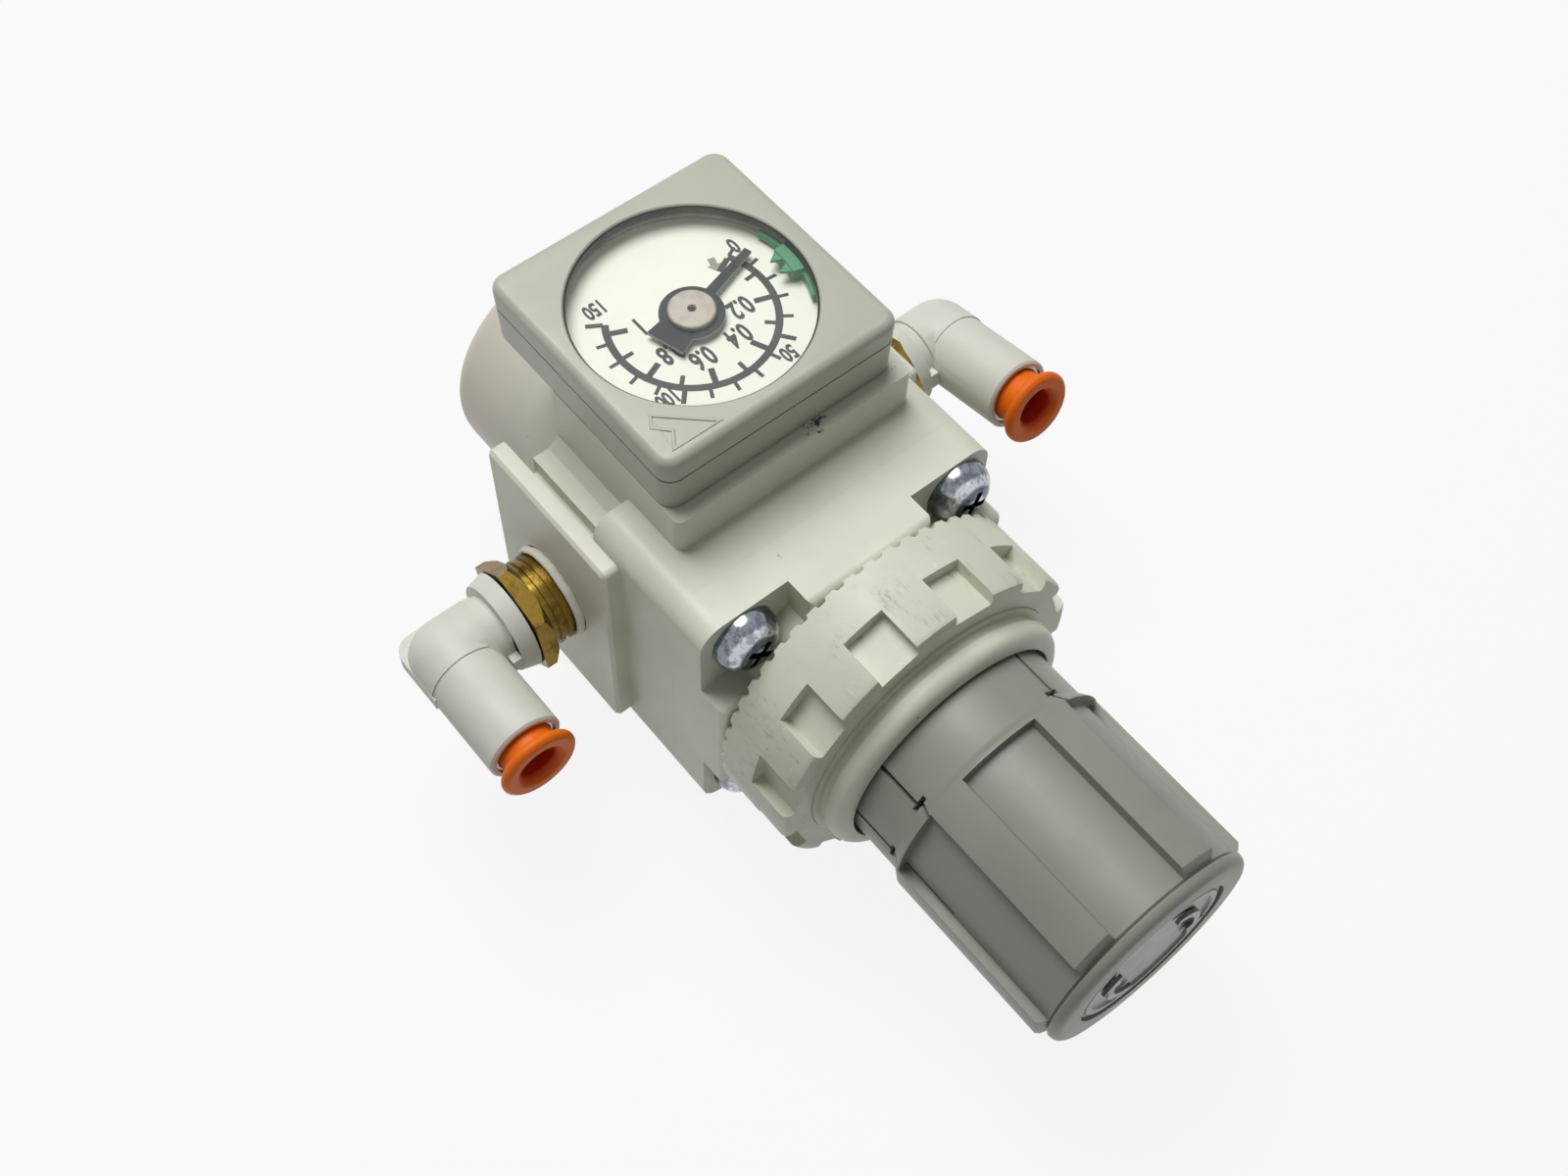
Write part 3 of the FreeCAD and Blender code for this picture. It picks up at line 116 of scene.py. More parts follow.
# each number with the place of its centre and its share of the full digit height
DIAL_NUMBERS = (
    ("0", 8.8, 6.7, 0.85), ("0.2", 4.45, 0.15, 1.0), ("0.4", 2.15, -2.4, 1.0), ("0.6", -2.2, -2.45, 1.0),
    ("0.8", -4.2, 0.0, 1.0), ("1", -4.6, 4.3, 1.0),
    ("50", 4.6, -7.05, 0.78), ("100", -7.75, -4.2, 0.78), ("150", -6.75, 8.65, 0.78),
)
FONT_CAP_SHARE = 0.7
DIGIT_NARROW = 0.62
# beyond about 0.11 the outline of the 6 crosses itself and the glyph is lost
DIGIT_WEIGHT = 0.10


def lin(r, g, b):
    """Linear colour from 0 to 255 screen values."""
    shares = (r / 255, g / 255, b / 255)
    return tuple(c / 12.92 if c <= 0.04045 else ((c + 0.055) / 1.055) ** 2.4 for c in shares) + (1.0,)


# Settings
class RegulatorSettings(bpy.types.PropertyGroup):
    """Sizes, strengths and colours that the operators read."""
    edge_round: bpy.props.FloatProperty(
        name="Edge rounds", description="Factor on the edge round of every piece", default=1.0, subtype="FACTOR")
    grain: bpy.props.FloatProperty(
        name="Grain", description="Depth of the moulding grain", default=0.10, subtype="FACTOR")
    wear: bpy.props.FloatProperty(
        name="Wear", description="Strength of scuffs and specks", default=1.0, subtype="FACTOR")
    print_lift: bpy.props.FloatProperty(
        name="Print lift", description="Height of the print over the dial", default=0.00002, unit="LENGTH")
    digit_height: bpy.props.FloatProperty(
        name="Digit height", description="Height of the dial numbers", default=0.0022, unit="LENGTH")
    lamp: bpy.props.FloatProperty(
        name="Lamps", description="Brightness of the studio lamps", default=1.0, subtype="FACTOR")
    housing_colour: bpy.props.FloatVectorProperty(
        name="Housing", description="Colour of the cast body",
        default=lin(216, 217, 200), size=4, subtype="COLOR")
    knob_colour: bpy.props.FloatVectorProperty(
        name="Knob", description="Colour of the adjusting knob",
        default=lin(137, 141, 129), size=4, subtype="COLOR")
    button_colour: bpy.props.FloatVectorProperty(
        name="Buttons", description="Colour of the release buttons",
        default=lin(238, 114, 14), size=4, subtype="COLOR")


def settings():
    return bpy.context.scene.regulator


def print_z():
    """Height of the dial's print in millimetres."""
    return DIAL_Z + settings().print_lift / MM


# Shader nodes
class Socket:
    """A shader value that takes part in arithmetic."""

    def __init__(self, kit, out):
        self.kit = kit
        self.out = out

    def math(self, op, other=0.0, swap=False):
        """Math node on this value and another; swap puts the other first."""
        a, b = (other, self) if swap else (self, other)
        return self.kit.node("ShaderNodeMath", {"operation": op}, {0: a, 1: b})

    def __add__(self, other):
        return self.math("ADD", other)

    def __sub__(self, other):
        return self.math("SUBTRACT", other)

    def __rsub__(self, other):
        return self.math("SUBTRACT", other, swap=True)

    def __mul__(self, other):
        return self.math("MULTIPLY", other)

    def __pow__(self, other):
        return self.math("POWER", other)

    def __abs__(self):
        return self.math("ABSOLUTE")

    __radd__ = __add__
    __rmul__ = __mul__

    def step(self, low, high):
        """0 below low, 1 above high and smooth between; reversed where low is the larger."""
        if low > high:
            return 1.0 - self.step(high, low)
        spread = {0: self, 1: low, 2: high, 3: 0.0, 4: 1.0}
        return self.kit.node("ShaderNodeMapRange", {"interpolation_type": "SMOOTHSTEP"}, spread)

    def band(self, low, high, soft):
        """1 from low to high, with soft flanks outside."""
        return self.step(low - soft, low) * self.step(high + soft, high)


def add_node(tree, kind, props, sockets):
    """New node with its settings, then the value or link of each socket, by its index or name."""
    n = tree.nodes.new(kind)
    for key, value in props.items():
        setattr(n, key, value)
    for key, value in sockets.items():
        value = getattr(value, "out", value)
        if isinstance(value, bpy.types.NodeSocket):
            tree.links.new(value, n.inputs[key])
        else:
            n.inputs[key].default_value = value
    return n


def seen_by(tree, rays):
    """1 where one of the named kinds of ray arrives."""
    path = tree.nodes.new("ShaderNodeLightPath")
    seen = path.outputs["Is %s Ray" % rays[0]]
    for kind in rays[1:]:
        pair = {0: seen, 1: path.outputs["Is %s Ray" % kind]}
        seen = add_node(tree, "ShaderNodeMath", {"operation": "MAXIMUM"}, pair).outputs[0]
    return seen


class Kit:
    """One material with its Principled shader; tone is the base colour so far."""

    def __init__(self, name, base, rough=0.5, metal=0.0, coat=0.0, spec=0.5):
        self.mat = bpy.data.materials.new(name)
        self.mat.use_nodes = True
        self.tree = self.mat.node_tree
        self.shader = self.tree.nodes["Principled BSDF"]
        self.tone = base
        self.set("Base Color", base)
        self.set("Roughness", rough)
        self.set("Metallic", metal)
        self.set("Coat Weight", coat)
        self.set("Specular IOR Level", spec)
        self.mat.diffuse_color = base
        self.coords = self.tree.nodes.new("ShaderNodeTexCoord").outputs["Object"]
        self._xyz = None

    def node(self, kind, props, sockets, out=0):
        return Socket(self, add_node(self.tree, kind, props, sockets).outputs[out])

    def xyz(self):
        """Place in millimetres."""
        if self._xyz is None:
            parts = add_node(self.tree, "ShaderNodeSeparateXYZ", {}, {0: self.coords})
            self._xyz = [Socket(self, o) * 1000.0 for o in parts.outputs]
        return self._xyz

    def noise(self, size, detail=3.0, rough=0.5, stretch=None):
        """Noise whose features are about size millimetres across; stretch gives a factor for each axis."""
        at = self.coords
        if stretch:
            at = self.node("ShaderNodeVectorMath", {"operation": "MULTIPLY"}, {0: at, 1: stretch})
        sockets = {"Vector": at, "Scale": 1000.0 / size, "Detail": detail, "Roughness": rough}
        return self.node("ShaderNodeTexNoise", {}, sockets)

    def mix(self, factor, a, b):
        """Colour a where the factor is 0 and b where it is 1."""
        return self.node("ShaderNodeMix", {"data_type": "RGBA"}, {0: factor, 6: a, 7: b}, out=2)

    def set(self, key, value):
        """Give the shader's socket a constant or a link."""
        if isinstance(value, Socket):
            self.tree.links.new(value.out, self.shader.inputs[key])
        else:
            self.shader.inputs[key].default_value = value
        return self

    def tint(self, mask, colour):
        """Lay a colour over the tone where the mask is 1."""
        self.tone = self.mix(mask, self.tone, colour)
        return self.set("Base Color", self.tone)

    def bump(self, height, strength, depth):
        """Bump of a height field; depth in millimetres."""
        sockets = {"Strength": strength, "Distance": depth * MM, "Height": height}
        return self.set("Normal", self.node("ShaderNodeBump", {}, sockets))


def dial_radius(kit):
    """Distance from the dial's centre line."""
    x, y, _ = kit.xyz()
    return ((x - float(DIAL[0])) ** 2.0 + (y - float(DIAL[1])) ** 2.0) ** 0.5


def spot(kit, x0, y0, z0, r):
    """1 near a point, 0 beyond r millimetres."""
    x, y, z = kit.xyz()
    return (((x - x0) ** 2.0 + (y - y0) ** 2.0 + (z - z0) ** 2.0) ** 0.5).step(r, r * 0.5)


# Finishes
def moulded(name, colour, dark, rough=0.42, grain=0.35, speck=0.5):
    """Moulded or painted grey: cloudy tone, fine grain, sparse dark specks and dull patches."""
    k = Kit(name, colour, rough)
    cloud = k.noise(9.0, 4.0)
    fine = k.noise(grain, 2.0, 0.6)
    patch = k.noise(2.2, 5.0, 0.65)
    specks = k.noise(0.9, 1.0, 0.3).step(0.80, 0.83) * k.noise(6.0, 1.0).step(0.45, 0.6)
    k.tint(cloud.step(0.35, 0.75) * 0.35 + patch.step(0.55, 0.8) * 0.15, dark)
    k.tint(specks * (speck * settings().wear), lin(80, 78, 66))
    k.set("Roughness", (patch - 0.5) * 0.18 + (fine - 0.5) * 0.1 + rough)
    k.height = fine
    return k.bump(fine, settings().grain, 0.05)


def metal(name, colour, rough, grain=0.3, dull=None, amount=0.4):
    """Plated or bare metal with fine scratches and, where a dull colour is given, duller patches."""
    k = Kit(name, colour, rough, 1.0)
    scratch = k.noise(grain, 4.0, 0.7)
    patch = k.noise(1.6, 4.0, 0.6)
    if dull:
        k.tint(patch.step(0.45, 0.75) * amount, dull)
    k.set("Roughness", (scratch - 0.5) * 0.2 + (patch - 0.5) * 0.25 + rough)
    return k.bump(scratch, 0.15, 0.03)


def resin(name, colour, dark, rough, coat):
    """Glossy resin with faint flow marks."""
    k = Kit(name, colour, rough, coat=coat)
    flow = k.noise(4.0, 3.0, 0.5, (1.0, 0.5, 1.0))
    fine = k.noise(0.5, 2.0)
    k.tint(flow.step(0.35, 0.75) * 0.4, dark)
    k.set("Roughness", (flow - 0.5) * 0.15 + (fine - 0.5) * 0.08 + rough)
    return k.bump(fine, 0.08, 0.04)


def casting_material():
    """Body grey with dark crumbs in three soft spots beside the gauge cover."""
    k = moulded("casting_grey", tuple(settings().housing_colour), lin(194, 195, 178), 0.44, 0.35)
    crumbs = k.noise(0.7, 3.0, 0.7).step(0.52, 0.58)
    for x, y, z, r in ((3.2, -12.7, 42.1, 1.3), (4.4, -12.6, 42.1, 0.9), (14.0, -12.0, 42.0, 0.6)):
        k.tint(spot(k, x, y, z, r) * crumbs, lin(34, 32, 28))
    return k


def nut_material():
    """Housing grey, paler and rubbed where the notched front has been gripped."""
    k = moulded("nut_grey", lin(214, 216, 198), lin(188, 190, 170), 0.45, 0.4)
    _, y, _ = k.xyz()
    streaks = k.noise(0.5, 5.0, 0.75, (1.0, 0.25, 1.0)).step(0.5, 0.7)
    rub = streaks * k.noise(4.5, 2.0).step(0.45, 0.62) * y.band(-35.6, -27.5, 1.0)
    k.tint(rub * (0.8 * settings().wear), lin(168, 160, 136))
    pale = k.noise(1.4, 4.0, 0.7).step(0.6, 0.7) * k.noise(5.5, 1.0).step(0.5, 0.6)
    k.tint(pale * 0.4, lin(238, 238, 226))
    return k.bump(k.height + rub * 0.8, 0.25, 0.06)


def cover_material():
    """Cover grey with painted shade on the wall within the opening, up to just under its rim."""
    k = moulded("cover_grey", lin(180, 182, 167), lin(164, 166, 150), 0.4, 0.3, 0.8)
    _, _, z = k.xyz()
    # painted shade: the wall under the cover's lip, around the dial, is coloured near-black
    painted_shade_wall = dial_radius(k).step(12.45, 12.3) * z.step(COVER_TOP_Z - 0.1, COVER_TOP_Z - 0.2)
    return k.tint(painted_shade_wall, lin(30, 28, 20))


def cap_material():
    """Far cap, with a warmer band at its end."""
    k = moulded("cap_grey", lin(204, 203, 190), lin(184, 183, 170), 0.45, 0.4)
    _, y, _ = k.xyz()
    return k.tint(y.step(17.0, 19.0) * 0.5, lin(214, 208, 190))


def zinc_material():
    """Bright mottled plating with painted dark reflections as bluish rings about each screw's axis, the four
    axes folded onto one.
    """
    k = metal("zinc_plate", lin(196, 199, 204), 0.16, 0.4)
    x, _, z = k.xyz()
    off_x = abs(x - SCREW_MID_X) - SCREW_SPREAD_X
    off_z = abs(z - AXIS_Z) - SCREW_SPREAD_Z
    r = (off_x ** 2.0 + off_z ** 2.0) ** 0.5 + (k.noise(1.8, 2.0) - 0.5) * 0.7
    k.tint(k.noise(0.9, 4.0, 0.7).step(0.46, 0.6) * 0.6, lin(92, 95, 106))
    # painted reflection: the bluish dark rings on the heads stand in for the chrome's dark reflections
    return k.tint(r.band(1.35, 2.15, 0.35) * 0.8 + r.band(3.3, 3.8, 0.3) * 0.6, lin(46, 50, 74))


def button_material():
    """Orange resin, with painted shade making it redder and darker down in the bore. The right tube leans by its
    elbow's rest turn t, so the distance across it is y sin t + (z - axis) cos t, where the left one has z -
    axis."""
    k = resin("button_orange", tuple(settings().button_colour), lin(226, 94, 8), 0.46, 0.03)
    k.set("Specular IOR Level", 0.22)
    x, y, z = k.xyz()
    turn = math.radians(RIGHT_ELBOW_TURN)
    right = x.step(-1.0, 1.0)
    leaning = y * math.sin(turn) + (z - AXIS_Z) * math.cos(turn)
    across = (z - AXIS_Z) * (1.0 - right) + leaning * right
    bore = ((abs(x) - TUBE_X) ** 2.0 + across ** 2.0) ** 0.5
    # painted shade: the bore is coloured a darker, redder orange than the outside
    return k.tint(bore.step(2.75, 2.2), lin(214, 66, 6))


def pointer_material():
    """Black lacquer on top, with a painted highlight on the cut edges."""
    k = Kit("pointer_black", lin(34, 37, 40), 0.42, spec=0.2)
    _, _, z = k.xyz()
    edge = z.step(POINTER_TOP_Z - 0.01, POINTER_TOP_Z - 0.03)
    # painted highlight: pale grey on the pointer's sides, just below its top face
    k.tint(edge * 0.8 + k.noise(0.8, 3.0) * 0.05, lin(176, 180, 178))
    k.set("Roughness", k.noise(0.5, 3.0) * 0.2 + 0.35)
    return k.bump(k.noise(0.2, 2.0), 0.08, 0.03)


def hub_material():
    """Turned silver disc with fine rings and a dark centre."""
    k = Kit("hub_silver", lin(168, 163, 149), 0.5, 0.35, spec=0.3)
    r = dial_radius(k)
    rings = (r * 42.0).math("SINE") * 0.5 + 0.5
    k.tint(k.noise(1.2, 3.0).step(0.4, 0.7) * 0.5, lin(134, 129, 116))
    k.tint(r.step(0.42, 0.32), lin(38, 34, 30))
    k.set("Roughness", rings * 0.08 + 0.46)
    return k.bump(rings, 0.06, 0.02)


def window_material():
    """Thin clear window with a trace of haze."""
    k = Kit("window_clear", lin(240, 246, 244), 0.04, spec=0.12)
    k.set("Alpha", k.noise(3.0, 4.0).step(0.4, 0.9) * 0.03 + 0.03)
    return k.set("Roughness", k.noise(1.5, 3.0) * 0.08 + 0.02)


def make_materials():
    knob_colour = tuple(settings().knob_colour)
    kits = {
        "casting": casting_material(),
        "bonnet": moulded("bonnet_grey", lin(218, 220, 202), lin(196, 198, 180), 0.44, 0.35),
        "nut": nut_material(),
        "cap": cap_material(),
        "cover": cover_material(),
        "knob": moulded("knob_grey", knob_colour, lin(119, 123, 111), 0.42, 0.45, 0.3),
        "disc": moulded("disc_grey", lin(132, 134, 127), lin(78, 80, 76), 0.34, 0.6),
        "elbow": resin("elbow_resin", lin(213, 214, 203), lin(197, 198, 185), 0.54, 0.0),
        "button": button_material(),
        "zinc": zinc_material(),
        "steel": metal("spring_steel", lin(170, 170, 168), 0.3),
        "brass": metal("brass", lin(128, 104, 46), 0.28, 0.35, lin(62, 52, 22), 0.85),
        "sealant": moulded("sealant_white", lin(236, 234, 222), lin(214, 210, 192), 0.6, 0.3, 0.2),
        "rubber": moulded("rubber_black", lin(34, 34, 34), lin(46, 46, 44), 0.7, 0.2, 0.0),
        "dial": moulded("dial_white", lin(250, 251, 236), lin(242, 243, 222), 0.5, 0.25, 0.12),
        "print": moulded("print_grey", lin(36, 40, 38), lin(46, 50, 47), 0.6, 0.2, 0.0),
        "mark": moulded("mark_grey", lin(150, 150, 140), lin(132, 132, 122), 0.55, 0.2, 0.0),
        "pointer": pointer_material(),
        "hub": hub_material(),
        "green": resin("limit_green", lin(62, 142, 92), lin(48, 122, 76), 0.5, 0.0),
        "window": window_material(),
        "tab": resin("tab_clear", lin(150, 150, 130), lin(110, 108, 90), 0.2, 0.5),
    }
    return {key: k.mat for key, k in kits.items()}


# Nodes by their finish; a name stands for its left and right piece too
NODES_OF_FINISH = {
    "casting": ("body",),
    "bonnet": ("bonnet",),
    "nut": ("set_nut",),
    "cap": ("bottom_cap",),
    "knob": ("knob",),
    "disc": ("knob_disc",),
    "cover": ("gauge_cover", "gauge_case"),
    "window": ("window",),
    "dial": ("dial",),
    "pointer": ("pointer",),
    "hub": ("pointer_hub",),
    "green": ("limit_indicator",),
    "elbow": ("elbow",),
    "button": ("release_button",),
    "zinc": ("bonnet_screws", "gauge_screws", "back_plug", "adjusting_screw", "diaphragm_plate"),
    "brass": ("stud", "spring_nut", "diaphragm_stem", "valve", "gauge_movement"),
    "steel": ("regulating_spring", "valve_spring", "chuck"),
    "rubber": ("cap_seal", "gauge_seal", "elbow_seal", "tube_seal", "diaphragm"),
    "sealant": ("stud_seal",),
}
FINISH = {node: finish for finish, nodes in NODES_OF_FINISH.items() for node in nodes}
MATERIALS = {}


def finish_of(node):
    return FINISH[node.replace("_left", "").replace("_right", "")]


# Meshes
def link(name, mesh, material, body):
    """New object with one finish that rides on a body."""
    obj = bpy.data.objects.new(name, mesh)
    bpy.context.scene.collection.objects.link(obj)
    mesh.materials.clear()
    mesh.materials.append(MATERIALS[material])
    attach(obj, body)
    return obj


def mesh_from(name, verts, faces):
    """Mesh from points in millimetres."""
    mesh = bpy.data.meshes.new(name)
    mesh.from_pydata((np.asarray(verts, float) * MM).tolist(), [], [tuple(int(i) for i in f) for f in faces])
    mesh.update()
    return mesh


def grid_faces(rows, cols, wrap_rows=False, wrap_cols=False):
    """Quads of a rows by cols grid of points."""
    r = np.arange(rows if wrap_rows else rows - 1)[:, None]
    c = np.arange(cols if wrap_cols else cols - 1)[None, :]
    r1 = (r + 1) % rows
    c1 = (c + 1) % cols
    return np.stack([r * cols + c, r1 * cols + c, r1 * cols + c1, r * cols + c1], -1).reshape(-1, 4)


def edit(mesh, work):
    """Run work on the mesh as a bmesh."""
    bm = bmesh.new()
    bm.from_mesh(mesh)
    work(bm)
    bm.to_mesh(mesh)
    bm.free()
    return mesh


def outward(mesh):
    """Faces of a closed mesh turned outwards."""
    return edit(mesh, lambda bm: bmesh.ops.recalc_face_normals(bm, faces=bm.faces))


def upward(mesh):
    """Faces of a flat mesh turned upwards."""
    def work(bm):
        bmesh.ops.recalc_face_normals(bm, faces=bm.faces)
        if sum(f.normal.z for f in bm.faces) < 0:
            bmesh.ops.reverse_faces(bm, faces=bm.faces)

    return edit(mesh, work)


def smooth(obj, angle=35.0):
    """Smooth shading that leaves edges over the angle, in degrees, sharp."""
    def work(bm):
        for face in bm.faces:
            face.smooth = True
        for edge in bm.edges:
            edge.smooth = len(edge.link_faces) != 2 or edge.calc_face_angle(0.0) <= math.radians(angle)

    edit(obj.data, work)
    return obj


def polar(angle, r):
    """Points on the dial, angle in degrees clockwise from +Y as seen from above."""
    a = np.radians(np.asarray(angle, float))
    return np.stack([DIAL[0] + r * np.sin(a), DIAL[1] + r * np.cos(a)], -1)


def join_flats(bm):
    """Merge the loose triangles' points and dissolve the lines across flat faces."""
    bmesh.ops.remove_doubles(bm, verts=bm.verts, dist=2e-6)
    bmesh.ops.dissolve_limit(bm, angle_limit=math.radians(0.4), verts=bm.verts, edges=bm.edges)


def dress(node, width, segments=2):
    """The CAD solid with its flat faces joined and its sharp edges rounded as a moulding's are."""
    source = frame["nodes"][node]
    obj = link(node + "_shape", edit(source.data.copy(), join_flats), finish_of(node), source["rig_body"])
    bevel = obj.modifiers.new("edge_round", "BEVEL")
    bevel.width = settings().edge_round * width * MM
    bevel.segments = segments
    bevel.limit_method = "ANGLE"
    bevel.angle_limit = math.radians(38)
    bevel.use_clamp_overlap = True
    smooth(obj)
    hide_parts(node)


# Pieces
def carried_over():
    """CAD nodes that keep their own mesh get a finish on their material slots."""
    for name, node in frame["nodes"].items():
        mat = MATERIALS[finish_of(name)]
        if not node.data.materials:
            node.data.materials.append(mat)
        for slot in node.material_slots:
            slot.material = mat


def housing():
    for node, width in (("body", 0.25), ("bonnet", 0.3), ("bottom_cap", 0.3), ("set_nut", 0.28)):
        dress(node, width)
    dress("bonnet_screws", 0.12)


def knob_pieces():
    dress("knob", 0.22)
    dress("knob_disc", 0.12)
    for name, start in (("disc_arrow_a", 200.0), ("disc_arrow_b", 20.0)):
        disc_arrow(name, start)


def disc_arrow(name, start):
    """Raised turning arrow on the end disc: half-width w(t) about a circle, constant along the shaft, wide at
    the head's foot and nothing at its tip, carried round a closed four-sided section."""
    circle_r = 5.6
    shaft_half = 0.42
    head_half = 1.15
    head_from = 0.74
    sweep = 100.0
    t = np.concatenate([np.linspace(0.0, head_from, 22), np.linspace(head_from + 0.0001, 1.0, 10)])
    w = np.where(t <= head_from, shaft_half, head_half * (1.0 - t) / (1.0 - head_from) + 0.01)
    a = np.radians(start + sweep * t)
    inner = circle_r - w
    outer = circle_r + w
    root = DISC_FACE_Y - 0.3
    crown = DISC_FACE_Y + 0.1
    rows = []
    for r, y in ((inner, root), (inner, crown), (outer, crown), (outer, root)):
        rows.append(np.stack([r * np.sin(a), np.full_like(a, y), AXIS_Z + r * np.cos(a)], -1))
    n = len(t)
    ends = [tuple(i * n for i in range(4)), tuple(i * n + n - 1 for i in range(4))]
    faces = [tuple(f) for f in grid_faces(4, n, wrap_rows=True)] + ends
    obj = smooth(link(name, outward(mesh_from(name, np.concatenate(rows), faces)), "disc", "knob"))


def gauge_pieces():
    dress("gauge_cover", 0.12)
    dress("pointer", 0.05, 1)
    dress("pointer_hub", 0.05, 1)
    dress("limit_indicator", 0.08)
    cover_arrow()
    dial_arc()
    dial_ticks()
    dial_mark()
    for number in DIAL_NUMBERS:
        dial_number(*number)
    wall_tabs()


def cover_arrow():
    """Raised outline of the notched arrow on the cover: a low oval section carried round the closed outline,
    each corner mitred by m = (n0 + n1) / (1 + n0.n1) from the normals of its two sides."""
    path = np.array([(-11.28, -6.26), (-6.57, -10.71), (-11.81, -10.61), (-10.61, -8.91), (-12.01, -7.51)])
    line_half = 0.17
    line_height = 0.11
    sharpest = 0.35
    steps = 12
    side = np.roll(path, -1, 0) - path
    side /= np.linalg.norm(side, axis=1)[:, None]
    n1 = np.c_[side[:, 1], -side[:, 0]]
    n0 = np.roll(n1, 1, 0)
    mitre = (n0 + n1) / np.maximum(1.0 + (n0 * n1).sum(1), sharpest)[:, None]
    t = np.linspace(0, 2 * math.pi, steps, endpoint=False)[:, None, None]
    xy = path + mitre * np.cos(t) * line_half
    z = COVER_TOP_Z + np.sin(t) * line_height + np.zeros(xy.shape[:2] + (1,))
    verts = np.concatenate([xy, z], 2).reshape(-1, 3)
    mesh = outward(mesh_from("cover_arrow", verts, grid_faces(steps, len(path), True, True)))
    smooth(link("cover_arrow", mesh, "cover", "frame"), 60)


def flat_print(name, verts, faces, material="print"):
    """Printed shape on the dial."""
    link(name, upward(mesh_from(name, verts, faces)), material, "frame")


def dial_arc():
    """Thick arc between two radii: points r(t) at angle a(s) on a grid."""
    steps = 140
    a = np.linspace(ARC_START, ARC_END, steps)
    verts = np.concatenate([np.c_[polar(a, r), np.full(steps, print_z())] for r in (ARC_IN_R, ARC_OUT_R)])
    flat_print("dial_arc", verts, grid_faces(2, steps))


def dial_ticks():
    """Inner and outer ticks in one mesh: with u(a) the direction of a tick and v the one across it, the corners
    lie at c + r u + s w v / 2 for the inner and outer radius r and the signs s."""
    k = np.arange(11)
    p = np.arange(0, 151, 10)
    main = k % 2 == 0
    chief = (p % 50 == 0) & (p > 0)
    a = np.radians(np.concatenate([SCALE_ZERO + SCALE_SPAN * k / 10.0, OUTER_ZERO + OUTER_STEP * p]))
    near = np.concatenate([np.where(main, 6.35, 7.0), np.full(len(p), 8.6)])
    far = np.concatenate([np.full(len(k), 8.2), np.where(chief, 10.3, 9.8)])
    half = np.concatenate([np.where(main, 0.62, 0.45), np.where(chief, 0.5, 0.38)]) / 2
    u = np.stack([np.sin(a), np.cos(a)], -1)
    v = np.stack([u[:, 1], -u[:, 0]], -1) * half[:, None]
    corners = [DIAL + u * r[:, None] + v * s for r, s in ((near, -1), (far, -1), (far, 1), (near, 1))]
    xy = np.stack(corners, 1).reshape(-1, 2)
    faces = np.arange(len(xy)).reshape(-1, 4)
    flat_print("dial_ticks", np.c_[xy, np.full(len(xy), print_z() + TICK_LIFT)], faces)


def dial_mark():
    """Small grey arrow beside the zero: seven corners turned and carried to their place."""
    head = [(-0.75, 0.0), (0.0, 0.95), (0.75, 0.0)]
    shaft = [(0.38, 0.0), (0.38, -0.9), (-0.38, -0.9), (-0.38, 0.0)]
    arrow = np.array(head + shaft)
    turn = math.radians(165.0)
    turned = arrow @ np.array([[math.cos(turn), math.sin(turn)], [-math.sin(turn), math.cos(turn)]])
    verts = np.c_[turned + polar(56.0, 7.0), np.full(len(arrow), print_z())]
    flat_print("dial_mark", verts, [range(len(arrow))], "mark")


def dial_number(body, x, y, share):
    """Plain number as a flat mesh, upright when the dial is read from the +Y side."""
    curve = bpy.data.curves.new("number", "FONT")
    curve.body = body
    curve.align_x = "CENTER"
    curve.align_y = "CENTER"
    curve.size = settings().digit_height / MM / FONT_CAP_SHARE * share
    curve.offset = DIGIT_WEIGHT * share
    temp = bpy.data.objects.new("number", curve)
    bpy.context.scene.collection.objects.link(temp)
    bpy.context.view_layer.update()
    mesh = bpy.data.meshes.new_from_object(temp.evaluated_get(bpy.context.evaluated_depsgraph_get()))
    bpy.data.objects.remove(temp)
    bpy.data.curves.remove(curve)
    co = np.empty(len(mesh.vertices) * 3)
    mesh.vertices.foreach_get("co", co)
    co = co.reshape(-1, 3)
    z = np.full(len(co), print_z() + NUMBER_LIFT)
    mesh.vertices.foreach_set("co", (np.c_[x - co[:, 0] * DIGIT_NARROW, y - co[:, 1], z] * MM).ravel())
    mesh.update()
    link("number_" + body.replace(".", "_"), upward(mesh), "print", "frame")


def wall_tabs():
    """Two clear locating tabs on the opening's inner wall: short curved bars on a grid of angle and section."""
    half_angle = 4.2
    steps = 12
    section = ((12.75, 47.9), (12.35, 47.9), (12.2, 48.1), (12.35, 48.3), (12.75, 48.3))
    for i, mid in enumerate((8.0, -30.0)):
        a = np.linspace(mid - half_angle, mid + half_angle, steps)
        verts = np.concatenate([np.c_[polar(a, r), np.full(steps, z)] for r, z in section])
        mesh = outward(mesh_from("wall_tab", verts, grid_faces(len(section), steps, wrap_rows=True)))
        smooth(link("wall_tab_%d" % i, mesh, "tab", "frame"))


def fittings():
    for side, sign in (("left", -1), ("right", 1)):
        dress("elbow_" + side, 0.3)
        dress("release_button_" + side, 0.14)
        dress("stud_" + side, 0.1)
        sealant(side, sign)


